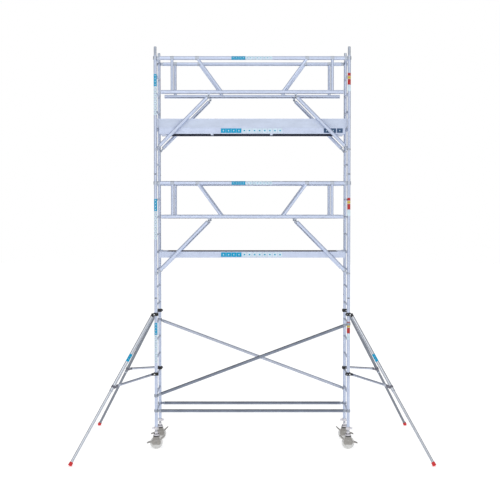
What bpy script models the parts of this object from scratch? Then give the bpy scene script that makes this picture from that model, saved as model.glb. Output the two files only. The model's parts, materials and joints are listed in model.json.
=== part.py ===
"""Mobile tower scaffold: six ladder frames on four braked castors, two hook-on decks,
guardrail frames with folding struts, base braces and four telescopic stabilisers.

Metres, +Z up. The origin is on the floor under the tower's centre, X runs along the bay
and the front side is -Y. Run it with blender --background --python part.py.
"""

import math

import bmesh
import bpy
from mathutils import Matrix, Vector

# Driving dimensions of the tower.
BAY_LENGTH = 3.05
LEG_SPACING = 0.70
RUNG_PITCH = 0.28
RUNG_DATUM = 0.035
RUNGS_PER_FRAME = 7
FRAME_HEIGHT = RUNGS_PER_FRAME * RUNG_PITCH
BASE_FRAME_BOTTOM = 0.345
LEVELS = ("base", "middle", "top")
LOWER_DECK_RUNG = 11
UPPER_DECK_RUNG = 18
KNEE_RAIL_RUNGS = 2
TOP_RAIL_RUNGS = 4

# Tubes.
LEG_RADIUS = 0.025
LEG_BORE_RADIUS = 0.0228
RUNG_RADIUS = 0.016
SPIGOT_RADIUS = 0.0215
SPIGOT_LENGTH = 0.14
SPIGOT_INSERT = 0.05
BORE_ROOF = 0.02
RAIL_RADIUS = 0.030
INFILL_RADIUS = 0.0225
STRUT_RADIUS = 0.0275
BRACE_RADIUS = 0.025
TUBE_SIDES = 12
RAIL_SIDES = 10
SMALL_SIDES = 8

# Gaps between solids that touch, and between solids that move past each other, and how far
# a cutter runs past what it cuts.
GAP = 0.0003
RUNNING_GAP = 0.0006
OVERRUN = 0.01

# Claws that hug a leg.
CLAW_INNER = 0.0262
CLAW_OUTER = 0.0335
CLAW_HEIGHT = 0.036

# Decks.
DECK_HALF_WIDTH = 0.305
DECK_HALF_LENGTH = 1.47
BEAM_WIDTH = 0.030
BEAM_HEIGHT = 0.097
DECK_TOP_OVER_RUNG = 0.015
END_BEAM_LENGTH = 0.10
BOARD_THICKNESS = 0.010
CROSS_BEAM_X = (-0.65, 0.31)
CROSS_BEAM_WIDTH = 0.040
DECK_CLAW_Y = 0.25
DECK_CLAW_WIDTH = 0.030
DECK_CLAW_BELOW = 0.012
DECK_CLAW_ABOVE = 0.025
DECK_CLAW_REACH = 0.026
BEAM_INSET = 0.001
LEDGE_WIDTH = 0.025
BOARD_EDGE_GAP = 0.0005

# Toe boards.
TOE_BOARD_HEIGHT = 0.15
TOE_BOARD_THICKNESS = 0.020
TOE_BOARD_OUTER_Y = 0.303
TOE_BOARD_HALF_LENGTH = 1.480
END_TOE_BOARD_LIFT = 0.020

# Guardrails and their struts. The rails lie a little off the heights of the rungs.
TOP_RAIL_DROP = 0.021
KNEE_RAIL_LIFT = 0.009
KNEE_RAIL_END = 1.435
INFILL_X = 1.26
DIAGONAL_TOP_X = 0.865
DIAGONAL_KNEE_X = 0.478
STRUT_PIVOT_X = 0.685
STRUT_PIVOT_DROP = 0.050
STRUT_CLAW_DROP = 0.050
STRUT_CLAW_HEIGHT = 0.030
STRUT_CLAW_OVERLAP = 0.004
STRUT_START = 0.027
STRUT_STOP = 0.042
STRUT_AIM_LIFT = 0.020
STRUT_TIP_OVERLAP = 0.020
STRUT_TIP_RADIUS = 0.013
LUG_THICKNESS = 0.018
LUG_HALF_WIDTH = 0.0145
LUG_LENGTH = 0.07
BRACKET_WALL = 0.004
BRACKET_HALF_LENGTH = 0.018
BRACKET_DROP = 0.016
PIVOT_PIN_RADIUS = 0.006
CLAW_SWEEP = 210

# Base braces.
HORIZONTAL_BRACE_Z = 0.609
DIAGONAL_LOW_Z = 0.855
DIAGONAL_HIGH_Z = 1.990

# Castors.
WHEEL_RADIUS = 0.10
WHEEL_SIDES = 32
WHEEL_HALF_WIDTH = 0.025
HUB_HALF_WIDTH = 0.0275
CHEEK_INNER_Y = 0.0290
CHEEK_OUTER_Y = 0.0340
AXLE_RADIUS = 0.008
CROWN_BOTTOM = 0.207
HEAD_BOTTOM = 0.222
HEAD_TOP = 0.240
HEAD_RADIUS = 0.045
HEAD_SIDES = 16
STUB_RADIUS = 0.009
SPINDLE_RADIUS = 0.0185
SPINDLE_TOP = 0.795
NUT_RADIUS = 0.037
NUT_HEIGHT = 0.044
NUT_OVERLAP = 0.008
COLLAR_RADIUS = 0.0255
COLLAR_HEIGHT = 0.040
CHEEK_INSET = 0.001
CROWN_HALF_LENGTH = 0.048
CROWN_HALF_WIDTH = 0.033
HUB_RADIUS = 0.026
WING_START = 0.028
WING_END = 0.070
WING_HALF_THICKNESS = 0.006
WING_LIFT = 0.004
WING_HEIGHT = 0.034
BRAKE_PIVOT_Z = 0.139
BRAKE_PIN_RADIUS = 0.005
BRAKE_PIN_END = 0.0415
BRAKE_ARM_INNER = 0.0370
BRAKE_ARM_OUTER = 0.0400

# Stabilisers, as distances from the leg axis and heights.
STABILISER_HEAD = (0.060, 2.147)
STABILISER_FOOT = (1.648, 0.0366)
OUTER_TUBE_END = 0.53
OUTER_TUBE_RADIUS = 0.025
OUTER_TUBE_BORE = 0.0226
INNER_TUBE_RADIUS = 0.0212
INNER_TUBE_START = 0.38
FOOT_RADIUS = 0.031
FOOT_LENGTH = 0.065
CLAMP_INNER = 0.0268
CLAMP_OUTER = 0.0365
CLAMP_HEIGHT = 0.050
LOWER_CLAMP_Z = 1.1975
STABILISER_BRACE_RADIUS = 0.019
STABILISER_BRACE_END = (0.765, 1.100)
COLLAR_AT = 0.50
COLLAR_RADIUS = 0.033
COLLAR_LENGTH = 0.040
LINK_START = 0.028
LINK_RADIUS = 0.010

# name: (base colour, metallic, roughness)
FINISHES = {
    "aluminium": ((0.62, 0.66, 0.72), 0.9, 0.35),
    "galvanised_steel": ((0.42, 0.45, 0.48), 0.9, 0.45),
    "castor_steel": ((0.35, 0.34, 0.33), 0.6, 0.5),
    "wheel_nylon": ((0.82, 0.82, 0.82), 0.0, 0.5),
    "phenolic_plywood": ((0.13, 0.08, 0.06), 0.0, 0.6),
    "toe_board": ((0.72, 0.74, 0.77), 0.3, 0.5),
}

LEG_X = BAY_LENGTH / 2
LEG_Y = LEG_SPACING / 2
SEAT_RADIUS = RUNG_RADIUS + 0.0016
SIDES = (("left", -1), ("right", 1))
FACES = (("front", -1), ("rear", 1))


def clear_scene():
    for obj in list(bpy.data.objects):
        bpy.data.objects.remove(obj)


def make_material(name):
    colour, metallic, roughness = FINISHES[name]
    material = bpy.data.materials.new(name)
    material.use_nodes = True
    shader = material.node_tree.nodes["Principled BSDF"]
    shader.inputs["Base Color"].default_value = (*colour, 1.0)
    shader.inputs["Metallic"].default_value = metallic
    shader.inputs["Roughness"].default_value = roughness
    material.diffuse_color = (*colour, 1.0)
    return material


def rung_z(number):
    return RUNG_DATUM + RUNG_PITCH * number


def shape_from(bm):
    """A helper object for one simple closed shape; fuse() uses it up."""
    if bm.calc_volume(signed=True) < 0:
        bmesh.ops.reverse_faces(bm, faces=bm.faces)
    mesh = bpy.data.meshes.new("shape")
    bm.to_mesh(mesh)
    bm.free()
    shape = bpy.data.objects.new("shape", mesh)
    shape.hide_render = True
    shape.display_type = "WIRE"
    bpy.context.scene.collection.objects.link(shape)
    return shape


def rod(start, end, radius, sides=TUBE_SIDES):
    """A straight round bar from start to end."""
    start, end = Vector(start), Vector(end)
    along = end - start
    bm = bmesh.new()
    bmesh.ops.create_cone(
        bm, cap_ends=True, segments=sides, radius1=radius, radius2=radius, depth=along.length
    )
    half_step = Matrix.Rotation(math.pi / sides, 4, "Z")
    turn = along.to_track_quat("Z", "Y").to_matrix().to_4x4()
    bm.transform(Matrix.Translation((start + end) / 2) @ turn @ half_step)
    return shape_from(bm)


def block(low, high, turn=None):
    """A box between two corners, optionally turned by a matrix afterwards."""
    low, high = Vector(low), Vector(high)
    bm = bmesh.new()
    bmesh.ops.create_cube(bm, size=1.0)
    bm.transform(Matrix.Translation((low + high) / 2) @ Matrix.Diagonal((*(high - low), 1.0)))
    if turn is not None:
        bm.transform(turn)
    return shape_from(bm)


def plate(outline, low, high, axes="XZ"):
    """A flat plate with the given outline, from low to high along the axis left over."""
    place = {
        "XZ": lambda a, b, depth: (a, depth, b),
        "XY": lambda a, b, depth: (a, b, depth),
    }[axes]
    bm = bmesh.new()
    rings = [[bm.verts.new(place(a, b, depth)) for a, b in outline] for depth in (low, high)]
    bm.faces.new(list(reversed(rings[0])))
    bm.faces.new(rings[1])
    count = len(outline)
    for i in range(count):
        j = (i + 1) % count
        bm.faces.new((rings[0][i], rings[0][j], rings[1][j], rings[1][i]))
    return shape_from(bm)


def arc(centre, radius, start, end, steps):
    """Points along an arc, angles in degrees."""
    angles = [math.radians(start + (end - start) * i / steps) for i in range(steps + 1)]
    return [(centre[0] + radius * math.cos(a), centre[1] + radius * math.sin(a)) for a in angles]


def claw(centre_x, centre_y, z, facing, sweep, height=CLAW_HEIGHT):
    """An open ring round a leg: facing is the angle of the middle of its back, in degrees."""
    first, last = facing - sweep / 2, facing + sweep / 2
    steps = round(sweep / 30)
    centre = (centre_x, centre_y)
    outline = arc(centre, CLAW_OUTER, first, last, steps)
    outline += arc(centre, CLAW_INNER, last, first, steps)
    return plate(outline, z - height / 2, z + height / 2, "XY")


def leg_space(x, y, z):
    """A cutter that keeps the space of a leg clear inside a claw."""
    return rod((x, y, z - CLAW_HEIGHT), (x, y, z + CLAW_HEIGHT), CLAW_INNER)


def fuse(name, finish, shapes, cuts=(), origin=(0, 0, 0), solver="EXACT"):
    """One closed solid from overlapping shapes, less the cuts, with its origin at a point."""
    result = shapes[0]
    for operation, others in (("UNION", shapes[1:]), ("DIFFERENCE", cuts)):
        for number, other in enumerate(others):
            modifier = result.modifiers.new(f"{operation} {number}", "BOOLEAN")
            modifier.operation = operation
            modifier.solver = solver
            modifier.object = other
    bpy.context.view_layer.update()
    depsgraph = bpy.context.evaluated_depsgraph_get()
    mesh = bpy.data.meshes.new_from_object(result.evaluated_get(depsgraph))
    for shape in [*shapes, *cuts]:
        bpy.data.objects.remove(shape)
    mesh.name = name
    mesh.transform(Matrix.Translation(-Vector(origin)))
    mesh.materials.clear()
    mesh.materials.append(MATERIALS[finish])
    mesh.shade_smooth()
    mesh.set_sharp_from_angle(angle=math.radians(35))
    solid = bpy.data.objects.new(name, mesh)
    solid.location = origin
    bpy.context.scene.collection.objects.link(solid)
    return solid


def ladder_frame(name, x, level):
    """Two hollow legs joined by seven rungs, with a spigot on top of each leg."""
    bottom = BASE_FRAME_BOTTOM + level * FRAME_HEIGHT + (GAP if level else 0)
    top = BASE_FRAME_BOTTOM + (level + 1) * FRAME_HEIGHT
    shapes, cuts = [], []
    for side in (-1, 1):
        y = side * LEG_Y
        shapes.append(rod((x, y, bottom), (x, y, top), LEG_RADIUS))
        shapes.append(
            rod((x, y, top - SPIGOT_INSERT), (x, y, top + SPIGOT_LENGTH), SPIGOT_RADIUS)
        )
        bore_start = bottom - OVERRUN
        if level == 0:
            # The adjusting nut that the spindle screws through is captive on the leg's end.
            nut_bottom = bottom + NUT_OVERLAP - NUT_HEIGHT
            shapes.append(rod((x, y, nut_bottom), (x, y, nut_bottom + NUT_HEIGHT), NUT_RADIUS))
            wing = math.copysign(1, x) * -side
            near, far = sorted((x + wing * WING_START, x + wing * WING_END))
            wing_bottom = nut_bottom + WING_LIFT
            shapes.append(
                block(
                    (near, y - WING_HALF_THICKNESS, wing_bottom),
                    (far, y + WING_HALF_THICKNESS, wing_bottom + WING_HEIGHT),
                )
            )
            thread_end = bottom + 3 * OVERRUN
            cuts.append(
                rod((x, y, nut_bottom - OVERRUN), (x, y, thread_end), SPINDLE_RADIUS + 2 * RUNNING_GAP)
            )
            bore_start = bottom + NUT_OVERLAP + 0.004
        cuts.append(rod((x, y, bore_start), (x, y, top - BORE_ROOF), LEG_BORE_RADIUS))
    for number in range(RUNGS_PER_FRAME):
        z = rung_z(2 + level * RUNGS_PER_FRAME + number)
        shapes.append(rod((x, -LEG_Y, z), (x, LEG_Y, z), RUNG_RADIUS, SMALL_SIDES))
    fuse(name, "aluminium", shapes, cuts)


def spindle(name, x, y):
    """Screwed leg of a castor: it slides out of the frame's leg and carries the fork."""
    fuse(
        name,
        "galvanised_steel",
        [
            rod((x, y, HEAD_TOP + GAP), (x, y, SPINDLE_TOP), SPINDLE_RADIUS),
            rod((x, y, HEAD_TOP + GAP), (x, y, HEAD_TOP + COLLAR_HEIGHT), COLLAR_RADIUS),
            rod((x, y, CROWN_BOTTOM + 0.001), (x, y, HEAD_TOP + 0.02), STUB_RADIUS, SMALL_SIDES),
        ],
        origin=(x, y, HEAD_TOP),
    )


def castor_fork(name, x, y):
    """Swivel head, crown and two cheeks, with the wheel's axle and the brake's pins."""
    cheek = [
        (-0.070, 0.095),
        (-0.055, 0.073),
        (0.055, 0.073),
        (0.070, 0.095),
        (0.060, 0.150),
        (0.0485, 0.190),
        (0.0485, HEAD_BOTTOM),
        (-0.0485, HEAD_BOTTOM),
        (-0.0485, 0.190),
        (-0.060, 0.150),
    ]
    outline = [(x + a, z) for a, z in cheek]
    shapes = [
        plate(outline, y - CHEEK_OUTER_Y, y - CHEEK_INNER_Y),
        plate(outline, y + CHEEK_INNER_Y, y + CHEEK_OUTER_Y),
        block(
            (x - CROWN_HALF_LENGTH, y - CROWN_HALF_WIDTH, CROWN_BOTTOM),
            (x + CROWN_HALF_LENGTH, y + CROWN_HALF_WIDTH, HEAD_BOTTOM - CHEEK_INSET),
        ),
        rod((x, y, HEAD_BOTTOM - 0.008), (x, y, HEAD_TOP), HEAD_RADIUS, HEAD_SIDES),
    ]
    axle_end = CHEEK_OUTER_Y - CHEEK_INSET
    shapes.append(rod((x, y - axle_end, WHEEL_RADIUS), (x, y + axle_end, WHEEL_RADIUS), AXLE_RADIUS))
    for side in (-1, 1):
        start, end = y + side * (CHEEK_INNER_Y + CHEEK_INSET), y + side * BRAKE_PIN_END
        shapes.append(rod((x, start, BRAKE_PIVOT_Z), (x, end, BRAKE_PIVOT_Z), BRAKE_PIN_RADIUS, SMALL_SIDES))
    bore = rod(
        (x, y, CROWN_BOTTOM - OVERRUN), (x, y, HEAD_TOP + OVERRUN), STUB_RADIUS + 2 * RUNNING_GAP
    )
    fuse(name, "castor_steel", shapes, [bore], origin=(x, y, HEAD_TOP))


def castor_wheel(name, x, y):
    """Solid wheel with a raised hub, bored for the axle."""
    z = WHEEL_RADIUS
    # The wheel stands on a flat of its polygon, so the flats lie at the wheel's radius.
    corner_radius = WHEEL_RADIUS / math.cos(math.pi / WHEEL_SIDES)
    tread, hub = WHEEL_HALF_WIDTH, HUB_HALF_WIDTH
    bored = hub + OVERRUN
    fuse(
        name,
        "wheel_nylon",
        [
            rod((x, y - tread, z), (x, y + tread, z), corner_radius, WHEEL_SIDES),
            rod((x, y - hub, z), (x, y + hub, z), HUB_RADIUS),
        ],
        [rod((x, y - bored, z), (x, y + bored, z), AXLE_RADIUS + 2 * RUNNING_GAP)],
        origin=(x, y, z),
    )


def castor_brake(name, x, y, out):
    """Two-ended rocker: its arms turn on the fork's pins, a pedal at each end crosses the wheel.

    Points are given as distance towards the outside of the tower and height. The outer pedal
    is down, which locks the castor, so the inner pedal, which releases it, is up.
    """
    arm = [
        (0.150, 0.091),
        (0.106, 0.104),
        (0.062, 0.117),
        (0.014, 0.125),
        (-0.030, 0.128),
        (-0.068, 0.146),
        (-0.104, 0.178),
        (-0.138, 0.214),
        (-0.132, 0.221),
        (-0.097, 0.189),
        (-0.060, 0.162),
        (-0.014, 0.152),
        (0.030, 0.150),
        (0.066, 0.135),
        (0.109, 0.116),
        (0.153, 0.100),
    ]
    lock_pedal = [(0.108, 0.106), (0.150, 0.093), (0.153, 0.100), (0.110, 0.113)]
    release_pedal = [(-0.105, 0.183), (-0.137, 0.214), (-0.131, 0.220), (-0.099, 0.189)]

    def across(points, low, high):
        return plate([(x + out * a, z) for a, z in points], low, high)

    shapes = [
        across(arm, y - BRAKE_ARM_OUTER, y - BRAKE_ARM_INNER),
        across(arm, y + BRAKE_ARM_INNER, y + BRAKE_ARM_OUTER),
    ]
    reach = BRAKE_ARM_OUTER - CHEEK_INSET
    for pedal in (lock_pedal, release_pedal):
        shapes.append(across(pedal, y - reach, y + reach))
    start, end = y - BRAKE_ARM_OUTER - OVERRUN, y + BRAKE_ARM_OUTER + OVERRUN
    bore = rod(
        (x, start, BRAKE_PIVOT_Z), (x, end, BRAKE_PIVOT_Z), BRAKE_PIN_RADIUS + 2 * RUNNING_GAP, SMALL_SIDES
    )
    fuse(name, "castor_steel", shapes, [bore], origin=(x, y, BRAKE_PIVOT_Z))


def deck_shapes(rung_height, turn):
    """Beams and claws of a deck at the given rung height, each shape turned by the matrix."""
    top = rung_height + DECK_TOP_OVER_RUNG
    bottom = top - BEAM_HEIGHT
    under_board = top - BOARD_THICKNESS - BOARD_EDGE_GAP
    inner = DECK_HALF_WIDTH - BEAM_WIDTH
    # Beams across the deck end inside the side beams.
    cross_y = inner + BEAM_WIDTH / 3
    outer_x = DECK_HALF_LENGTH - BEAM_INSET
    shapes, cuts = [], []
    for side in (-1, 1):
        low, high = sorted((side * inner, side * DECK_HALF_WIDTH))
        shapes.append(block((-DECK_HALF_LENGTH, low, bottom), (DECK_HALF_LENGTH, high, top), turn))
    for side in (-1, 1):
        low, high = sorted((side * (outer_x - END_BEAM_LENGTH), side * outer_x))
        shapes.append(
            block((low, -cross_y, bottom + 2 * BEAM_INSET), (high, cross_y, top - BEAM_INSET), turn)
        )
        low, high = sorted((side * (outer_x - END_BEAM_LENGTH - LEDGE_WIDTH), side * (outer_x - LEDGE_WIDTH)))
        shapes.append(block((low, -cross_y, bottom + 0.02), (high, cross_y, under_board), turn))
        rung_x = side * LEG_X
        low, high = sorted((side * (outer_x - OVERRUN), side * (LEG_X + DECK_CLAW_REACH)))
        for y in (-DECK_CLAW_Y, DECK_CLAW_Y):
            near, far = y - DECK_CLAW_WIDTH / 2, y + DECK_CLAW_WIDTH / 2
            claw_bottom, claw_top = rung_height - DECK_CLAW_BELOW, rung_height + DECK_CLAW_ABOVE
            shapes.append(block((low, near, claw_bottom), (high, far, claw_top), turn))
            near, far = near - OVERRUN, far + OVERRUN
            seat = rod((rung_x, near, rung_height), (rung_x, far, rung_height), SEAT_RADIUS)
            seat.data.transform(turn)
            cuts.append(seat)
            mouth = SEAT_RADIUS - GAP
            cuts.append(
                block((rung_x - mouth, near, rung_height - 0.03), (rung_x + mouth, far, rung_height), turn)
            )
    half = CROSS_BEAM_WIDTH / 2
    for x in CROSS_BEAM_X:
        shapes.append(block((x - half, -cross_y, bottom + 0.015), (x + half, cross_y, under_board), turn))
    return shapes, cuts


def deck(prefix, rung_number, turned):
    """Aluminium deck frame, its fixed plywood board and its hinged hatch."""
    turn = Matrix.Rotation(math.pi if turned else 0, 4, "Z")
    z = rung_z(rung_number)
    top = z + DECK_TOP_OVER_RUNG
    edge_y = DECK_HALF_WIDTH - BEAM_WIDTH - BOARD_EDGE_GAP
    end_x = DECK_HALF_LENGTH - BEAM_INSET - END_BEAM_LENGTH - BOARD_EDGE_GAP
    joint_x = CROSS_BEAM_X[0]
    half_slit = 2 * BOARD_EDGE_GAP
    under = top - BOARD_THICKNESS
    shapes, cuts = deck_shapes(z, turn)
    fuse(f"{prefix}_deck_frame", "aluminium", shapes, cuts)
    board = block((joint_x + half_slit, -edge_y, under), (end_x, edge_y, top), turn)
    fuse(f"{prefix}_deck_board", "phenolic_plywood", [board])
    lid = block((-end_x, -edge_y, under), (joint_x - half_slit, edge_y, top), turn)
    hinge = turn @ Vector(((joint_x - end_x) / 2, edge_y, top))
    fuse(f"{prefix}_hatch", "phenolic_plywood", [lid], origin=hinge)


def toe_boards():
    """Kick boards that stand round the upper deck."""
    deck_top = rung_z(UPPER_DECK_RUNG) + DECK_TOP_OVER_RUNG
    top = deck_top + TOE_BOARD_HEIGHT
    for name, side in FACES:
        low, high = sorted((side * (TOE_BOARD_OUTER_Y - TOE_BOARD_THICKNESS), side * TOE_BOARD_OUTER_Y))
        board = block(
            (-TOE_BOARD_HALF_LENGTH, low, deck_top + GAP), (TOE_BOARD_HALF_LENGTH, high, top)
        )
        fuse(f"{name}_toe_board", "toe_board", [board])
    for name, side in SIDES:
        start = TOE_BOARD_HALF_LENGTH + BOARD_EDGE_GAP
        low, high = sorted((side * start, side * (start + TOE_BOARD_THICKNESS)))
        board = block(
            (low, -TOE_BOARD_OUTER_Y, deck_top + END_TOE_BOARD_LIFT), (high, TOE_BOARD_OUTER_Y, top)
        )
        fuse(f"{name}_toe_board", "toe_board", [board])


def guardrail(name, y, deck_rung):
    """Welded frame of top rail, knee rail, two uprights and two diagonals, clawed to the legs."""
    top = rung_z(deck_rung + TOP_RAIL_RUNGS) - TOP_RAIL_DROP
    knee = rung_z(deck_rung + KNEE_RAIL_RUNGS) + KNEE_RAIL_LIFT
    pivot_z = knee - STRUT_PIVOT_DROP
    outward = 90 if y > 0 else -90
    reach = LEG_X - (CLAW_INNER + CLAW_OUTER) / 2
    shapes = [
        rod((-reach, y, top), (reach, y, top), RAIL_RADIUS, RAIL_SIDES),
        rod((-KNEE_RAIL_END, y, knee), (KNEE_RAIL_END, y, knee), RAIL_RADIUS, RAIL_SIDES),
    ]
    cuts = []
    for _, side in SIDES:
        shapes.append(claw(side * LEG_X, y, top, outward, CLAW_SWEEP))
        cuts.append(leg_space(side * LEG_X, y, top))
        for knee_x, top_x in ((INFILL_X, INFILL_X), (DIAGONAL_KNEE_X, DIAGONAL_TOP_X)):
            low, high = (side * knee_x, y, knee), (side * top_x, y, top)
            shapes.append(rod(low, high, INFILL_RADIUS, SMALL_SIDES))
        x = side * STRUT_PIVOT_X
        half = LUG_THICKNESS / 2 + RUNNING_GAP
        for low, high in ((y - half - BRACKET_WALL, y - half), (y + half, y + half + BRACKET_WALL)):
            shapes.append(
                block(
                    (x - BRACKET_HALF_LENGTH, low, pivot_z - BRACKET_DROP),
                    (x + BRACKET_HALF_LENGTH, high, knee - BRACKET_DROP),
                )
            )
        pin = half + BRACKET_WALL / 2
        shapes.append(rod((x, y - pin, pivot_z), (x, y + pin, pivot_z), PIVOT_PIN_RADIUS, SMALL_SIDES))
    fuse(name, "aluminium", shapes, cuts)


def strut(name, side, y, deck_rung):
    """Raking strut of a guardrail: lug and pin at the knee rail, open claw on the leg."""
    knee = rung_z(deck_rung + KNEE_RAIL_RUNGS) + KNEE_RAIL_LIFT
    pivot = Vector((side * STRUT_PIVOT_X, y, knee - STRUT_PIVOT_DROP))
    claw_z = rung_z(deck_rung - 1) - STRUT_CLAW_DROP
    claw_back = Vector((side * (LEG_X - CLAW_OUTER + STRUT_CLAW_OVERLAP), y, claw_z))
    # The tube is aimed above its claw, and a slanting casting joins the two.
    aim = claw_back + Vector((0, 0, STRUT_AIM_LIFT))
    along = (aim - pivot).normalized()
    # The lug's own X is level with the strut's plane, so its thickness lies along the tower's Y.
    flat = Matrix.Translation(pivot) @ Matrix.Rotation(math.atan2(along.x, along.z), 4, "Y")
    half_lug = LUG_THICKNESS / 2
    facing = 180 if side > 0 else 0
    shapes = [
        rod(pivot + along * STRUT_START, aim - along * STRUT_STOP, STRUT_RADIUS, RAIL_SIDES),
        block((-LUG_HALF_WIDTH, -half_lug, 0), (LUG_HALF_WIDTH, half_lug, LUG_LENGTH), flat),
        rod(pivot - Vector((0, half_lug, 0)), pivot + Vector((0, half_lug, 0)), LUG_HALF_WIDTH, SMALL_SIDES),
        rod(aim - along * (STRUT_STOP + STRUT_TIP_OVERLAP), claw_back, STRUT_TIP_RADIUS, SMALL_SIDES),
        claw(side * LEG_X, y, claw_z, facing, 180, STRUT_CLAW_HEIGHT),
    ]
    past = Vector((0, half_lug + OVERRUN, 0))
    cuts = [
        rod(pivot - past, pivot + past, PIVOT_PIN_RADIUS + 2 * RUNNING_GAP, SMALL_SIDES),
        leg_space(side * LEG_X, y, claw_z),
    ]
    fuse(name, "aluminium", shapes, cuts, origin=pivot)


def base_brace(name, y, left_z, right_z):
    """Tube across the bay between two legs, with an open claw on each."""
    outward = 90 if y > 0 else -90
    reach = LEG_X - (CLAW_INNER + CLAW_OUTER) / 2
    shapes = [rod((-reach, y, left_z), (reach, y, right_z), BRACE_RADIUS, RAIL_SIDES)]
    cuts = []
    for side, z in ((-1, left_z), (1, right_z)):
        shapes.append(claw(side * LEG_X, y, z, outward, CLAW_SWEEP))
        cuts.append(leg_space(side * LEG_X, y, z))
    # The exact solver leaves an open edge where a sloping tube meets its claw.
    fuse(name, "galvanised_steel", shapes, cuts, solver="MANIFOLD")


class Corner:
    """Places points of a stabiliser given as distance out from the leg axis and height."""

    def __init__(self, x, y):
        self.leg = Vector((x, y, 0))
        self.out = Vector((math.copysign(1, x), math.copysign(1, y), 0)).normalized()
        self.across = Vector((0, 0, 1)).cross(self.out)
        self.head = self.point(*STABILISER_HEAD)
        self.foot = self.point(*STABILISER_FOOT)
        self.along = (self.foot - self.head).normalized()

    def point(self, distance, height, sideways=0.0):
        return self.leg + self.out * distance + self.across * sideways + Vector((0, 0, height))

    def on_tube(self, part):
        return self.head.lerp(self.foot, part)


def clamp(corner, z):
    """Ring round a leg, with a lug that reaches out to the tube: shapes and cuts."""
    ring = rod(corner.point(0, z - CLAMP_HEIGHT / 2), corner.point(0, z + CLAMP_HEIGHT / 2), CLAMP_OUTER)
    turn = Matrix.Translation(corner.point(0, z)) @ Matrix.Rotation(
        math.atan2(corner.out.y, corner.out.x), 4, "Z"
    )
    lug = block((0.026, -0.017, -0.019), (0.070, 0.017, 0.019), turn)
    bore = rod(corner.point(0, z - 0.05), corner.point(0, z + 0.05), CLAMP_INNER)
    return [ring, lug], [bore]


def stabiliser_outer(name, corner):
    """Outer tube of a stabiliser with the clamp that holds its head to the leg."""
    shapes, cuts = clamp(corner, STABILISER_HEAD[1])
    start = corner.head - corner.along * 0.012
    end = corner.on_tube(OUTER_TUBE_END)
    shapes.append(rod(start, end, OUTER_TUBE_RADIUS))
    cuts.append(rod(corner.head + corner.along * 0.12, end + corner.along * 0.02, OUTER_TUBE_BORE))
    fuse(name, "aluminium", shapes, cuts, corner.leg)


def stabiliser_inner(name, corner):
    """Telescopic inner tube with its rubber foot, cut flat on the floor."""
    foot_end = corner.foot + corner.along * FOOT_LENGTH / 2
    floor = block(
        corner.foot - Vector((0.2, 0.2, 0.3 + corner.foot.z)),
        (corner.foot.x + 0.2, corner.foot.y + 0.2, 0.0),
    )
    fuse(
        name,
        "aluminium",
        [
            rod(corner.on_tube(INNER_TUBE_START), corner.foot, INNER_TUBE_RADIUS),
            rod(foot_end - corner.along * FOOT_LENGTH, foot_end, FOOT_RADIUS, 16),
        ],
        [floor],
        origin=corner.foot,
    )


def stabiliser_brace(name, corner):
    """Lower clamp, brace tube, and the bracket and collar that hold it to the outer tube."""
    shapes, cuts = clamp(corner, LOWER_CLAMP_Z)
    end = corner.point(*STABILISER_BRACE_END)
    shapes.append(rod(corner.point(0.052, LOWER_CLAMP_Z), end, STABILISER_BRACE_RADIUS, SMALL_SIDES))
    centre = corner.on_tube(COLLAR_AT)
    half_collar = corner.along * COLLAR_LENGTH / 2
    shapes.append(rod(centre - half_collar, centre + half_collar, COLLAR_RADIUS))
    cuts.append(
        rod(centre - half_collar * 2, centre + half_collar * 2, OUTER_TUBE_RADIUS + RUNNING_GAP)
    )
    inward = corner.across.cross(corner.along)
    if inward.dot(corner.out) > 0:
        inward = -inward
    inside_brace = end + (end - centre).normalized() * LINK_RADIUS
    shapes.append(rod(centre + inward * LINK_START, inside_brace, LINK_RADIUS, SMALL_SIDES))
    fuse(name, "galvanised_steel", shapes, cuts, corner.leg)


def castor(prefix, x, y, out):
    spindle(f"{prefix}_spindle", x, y)
    castor_fork(f"{prefix}_castor_fork", x, y)
    castor_wheel(f"{prefix}_castor_wheel", x, y)
    castor_brake(f"{prefix}_castor_brake", x, y, out)


def main():
    for side_name, side in SIDES:
        for level, level_name in enumerate(LEVELS):
            ladder_frame(f"{side_name}_{level_name}_frame", side * LEG_X, level)
    for face_name, face in FACES:
        for side_name, side in SIDES:
            prefix = f"{face_name}_{side_name}"
            x, y = side * LEG_X, face * LEG_Y
            castor(prefix, x, y, side)
            corner = Corner(x, y)
            stabiliser_outer(f"{prefix}_stabiliser_outer_tube", corner)
            stabiliser_brace(f"{prefix}_stabiliser_brace", corner)
            stabiliser_inner(f"{prefix}_stabiliser_inner_tube", corner)
    deck("lower", LOWER_DECK_RUNG, True)
    deck("upper", UPPER_DECK_RUNG, False)
    toe_boards()
    for face_name, face in FACES:
        y = face * LEG_Y
        for level_name, deck_rung in (("lower", LOWER_DECK_RUNG), ("upper", UPPER_DECK_RUNG)):
            guardrail(f"{level_name}_{face_name}_guardrail", y, deck_rung)
            for side_name, side in SIDES:
                strut(f"{level_name}_{face_name}_{side_name}_strut", side, y, deck_rung)
        base_brace(f"{face_name}_horizontal_brace", y, HORIZONTAL_BRACE_Z, HORIZONTAL_BRACE_Z)
        low_left = face < 0
        left_z, right_z = (
            (DIAGONAL_LOW_Z, DIAGONAL_HIGH_Z) if low_left else (DIAGONAL_HIGH_Z, DIAGONAL_LOW_Z)
        )
        base_brace(f"{face_name}_diagonal_brace", y, left_z, right_z)


clear_scene()
MATERIALS = {name: make_material(name) for name in FINISHES}
main()
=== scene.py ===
"""Looks of the mobile tower scaffold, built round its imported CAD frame.

Metres, +Z up, X along the bay, front is -Y. Every CAD node is replaced by a finer piece of
the same size, made of closed shapes that are skinned over rings of points.
"""

import json
import math

import bpy
import numpy as np
from mathutils import Matrix, Vector, noise


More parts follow.
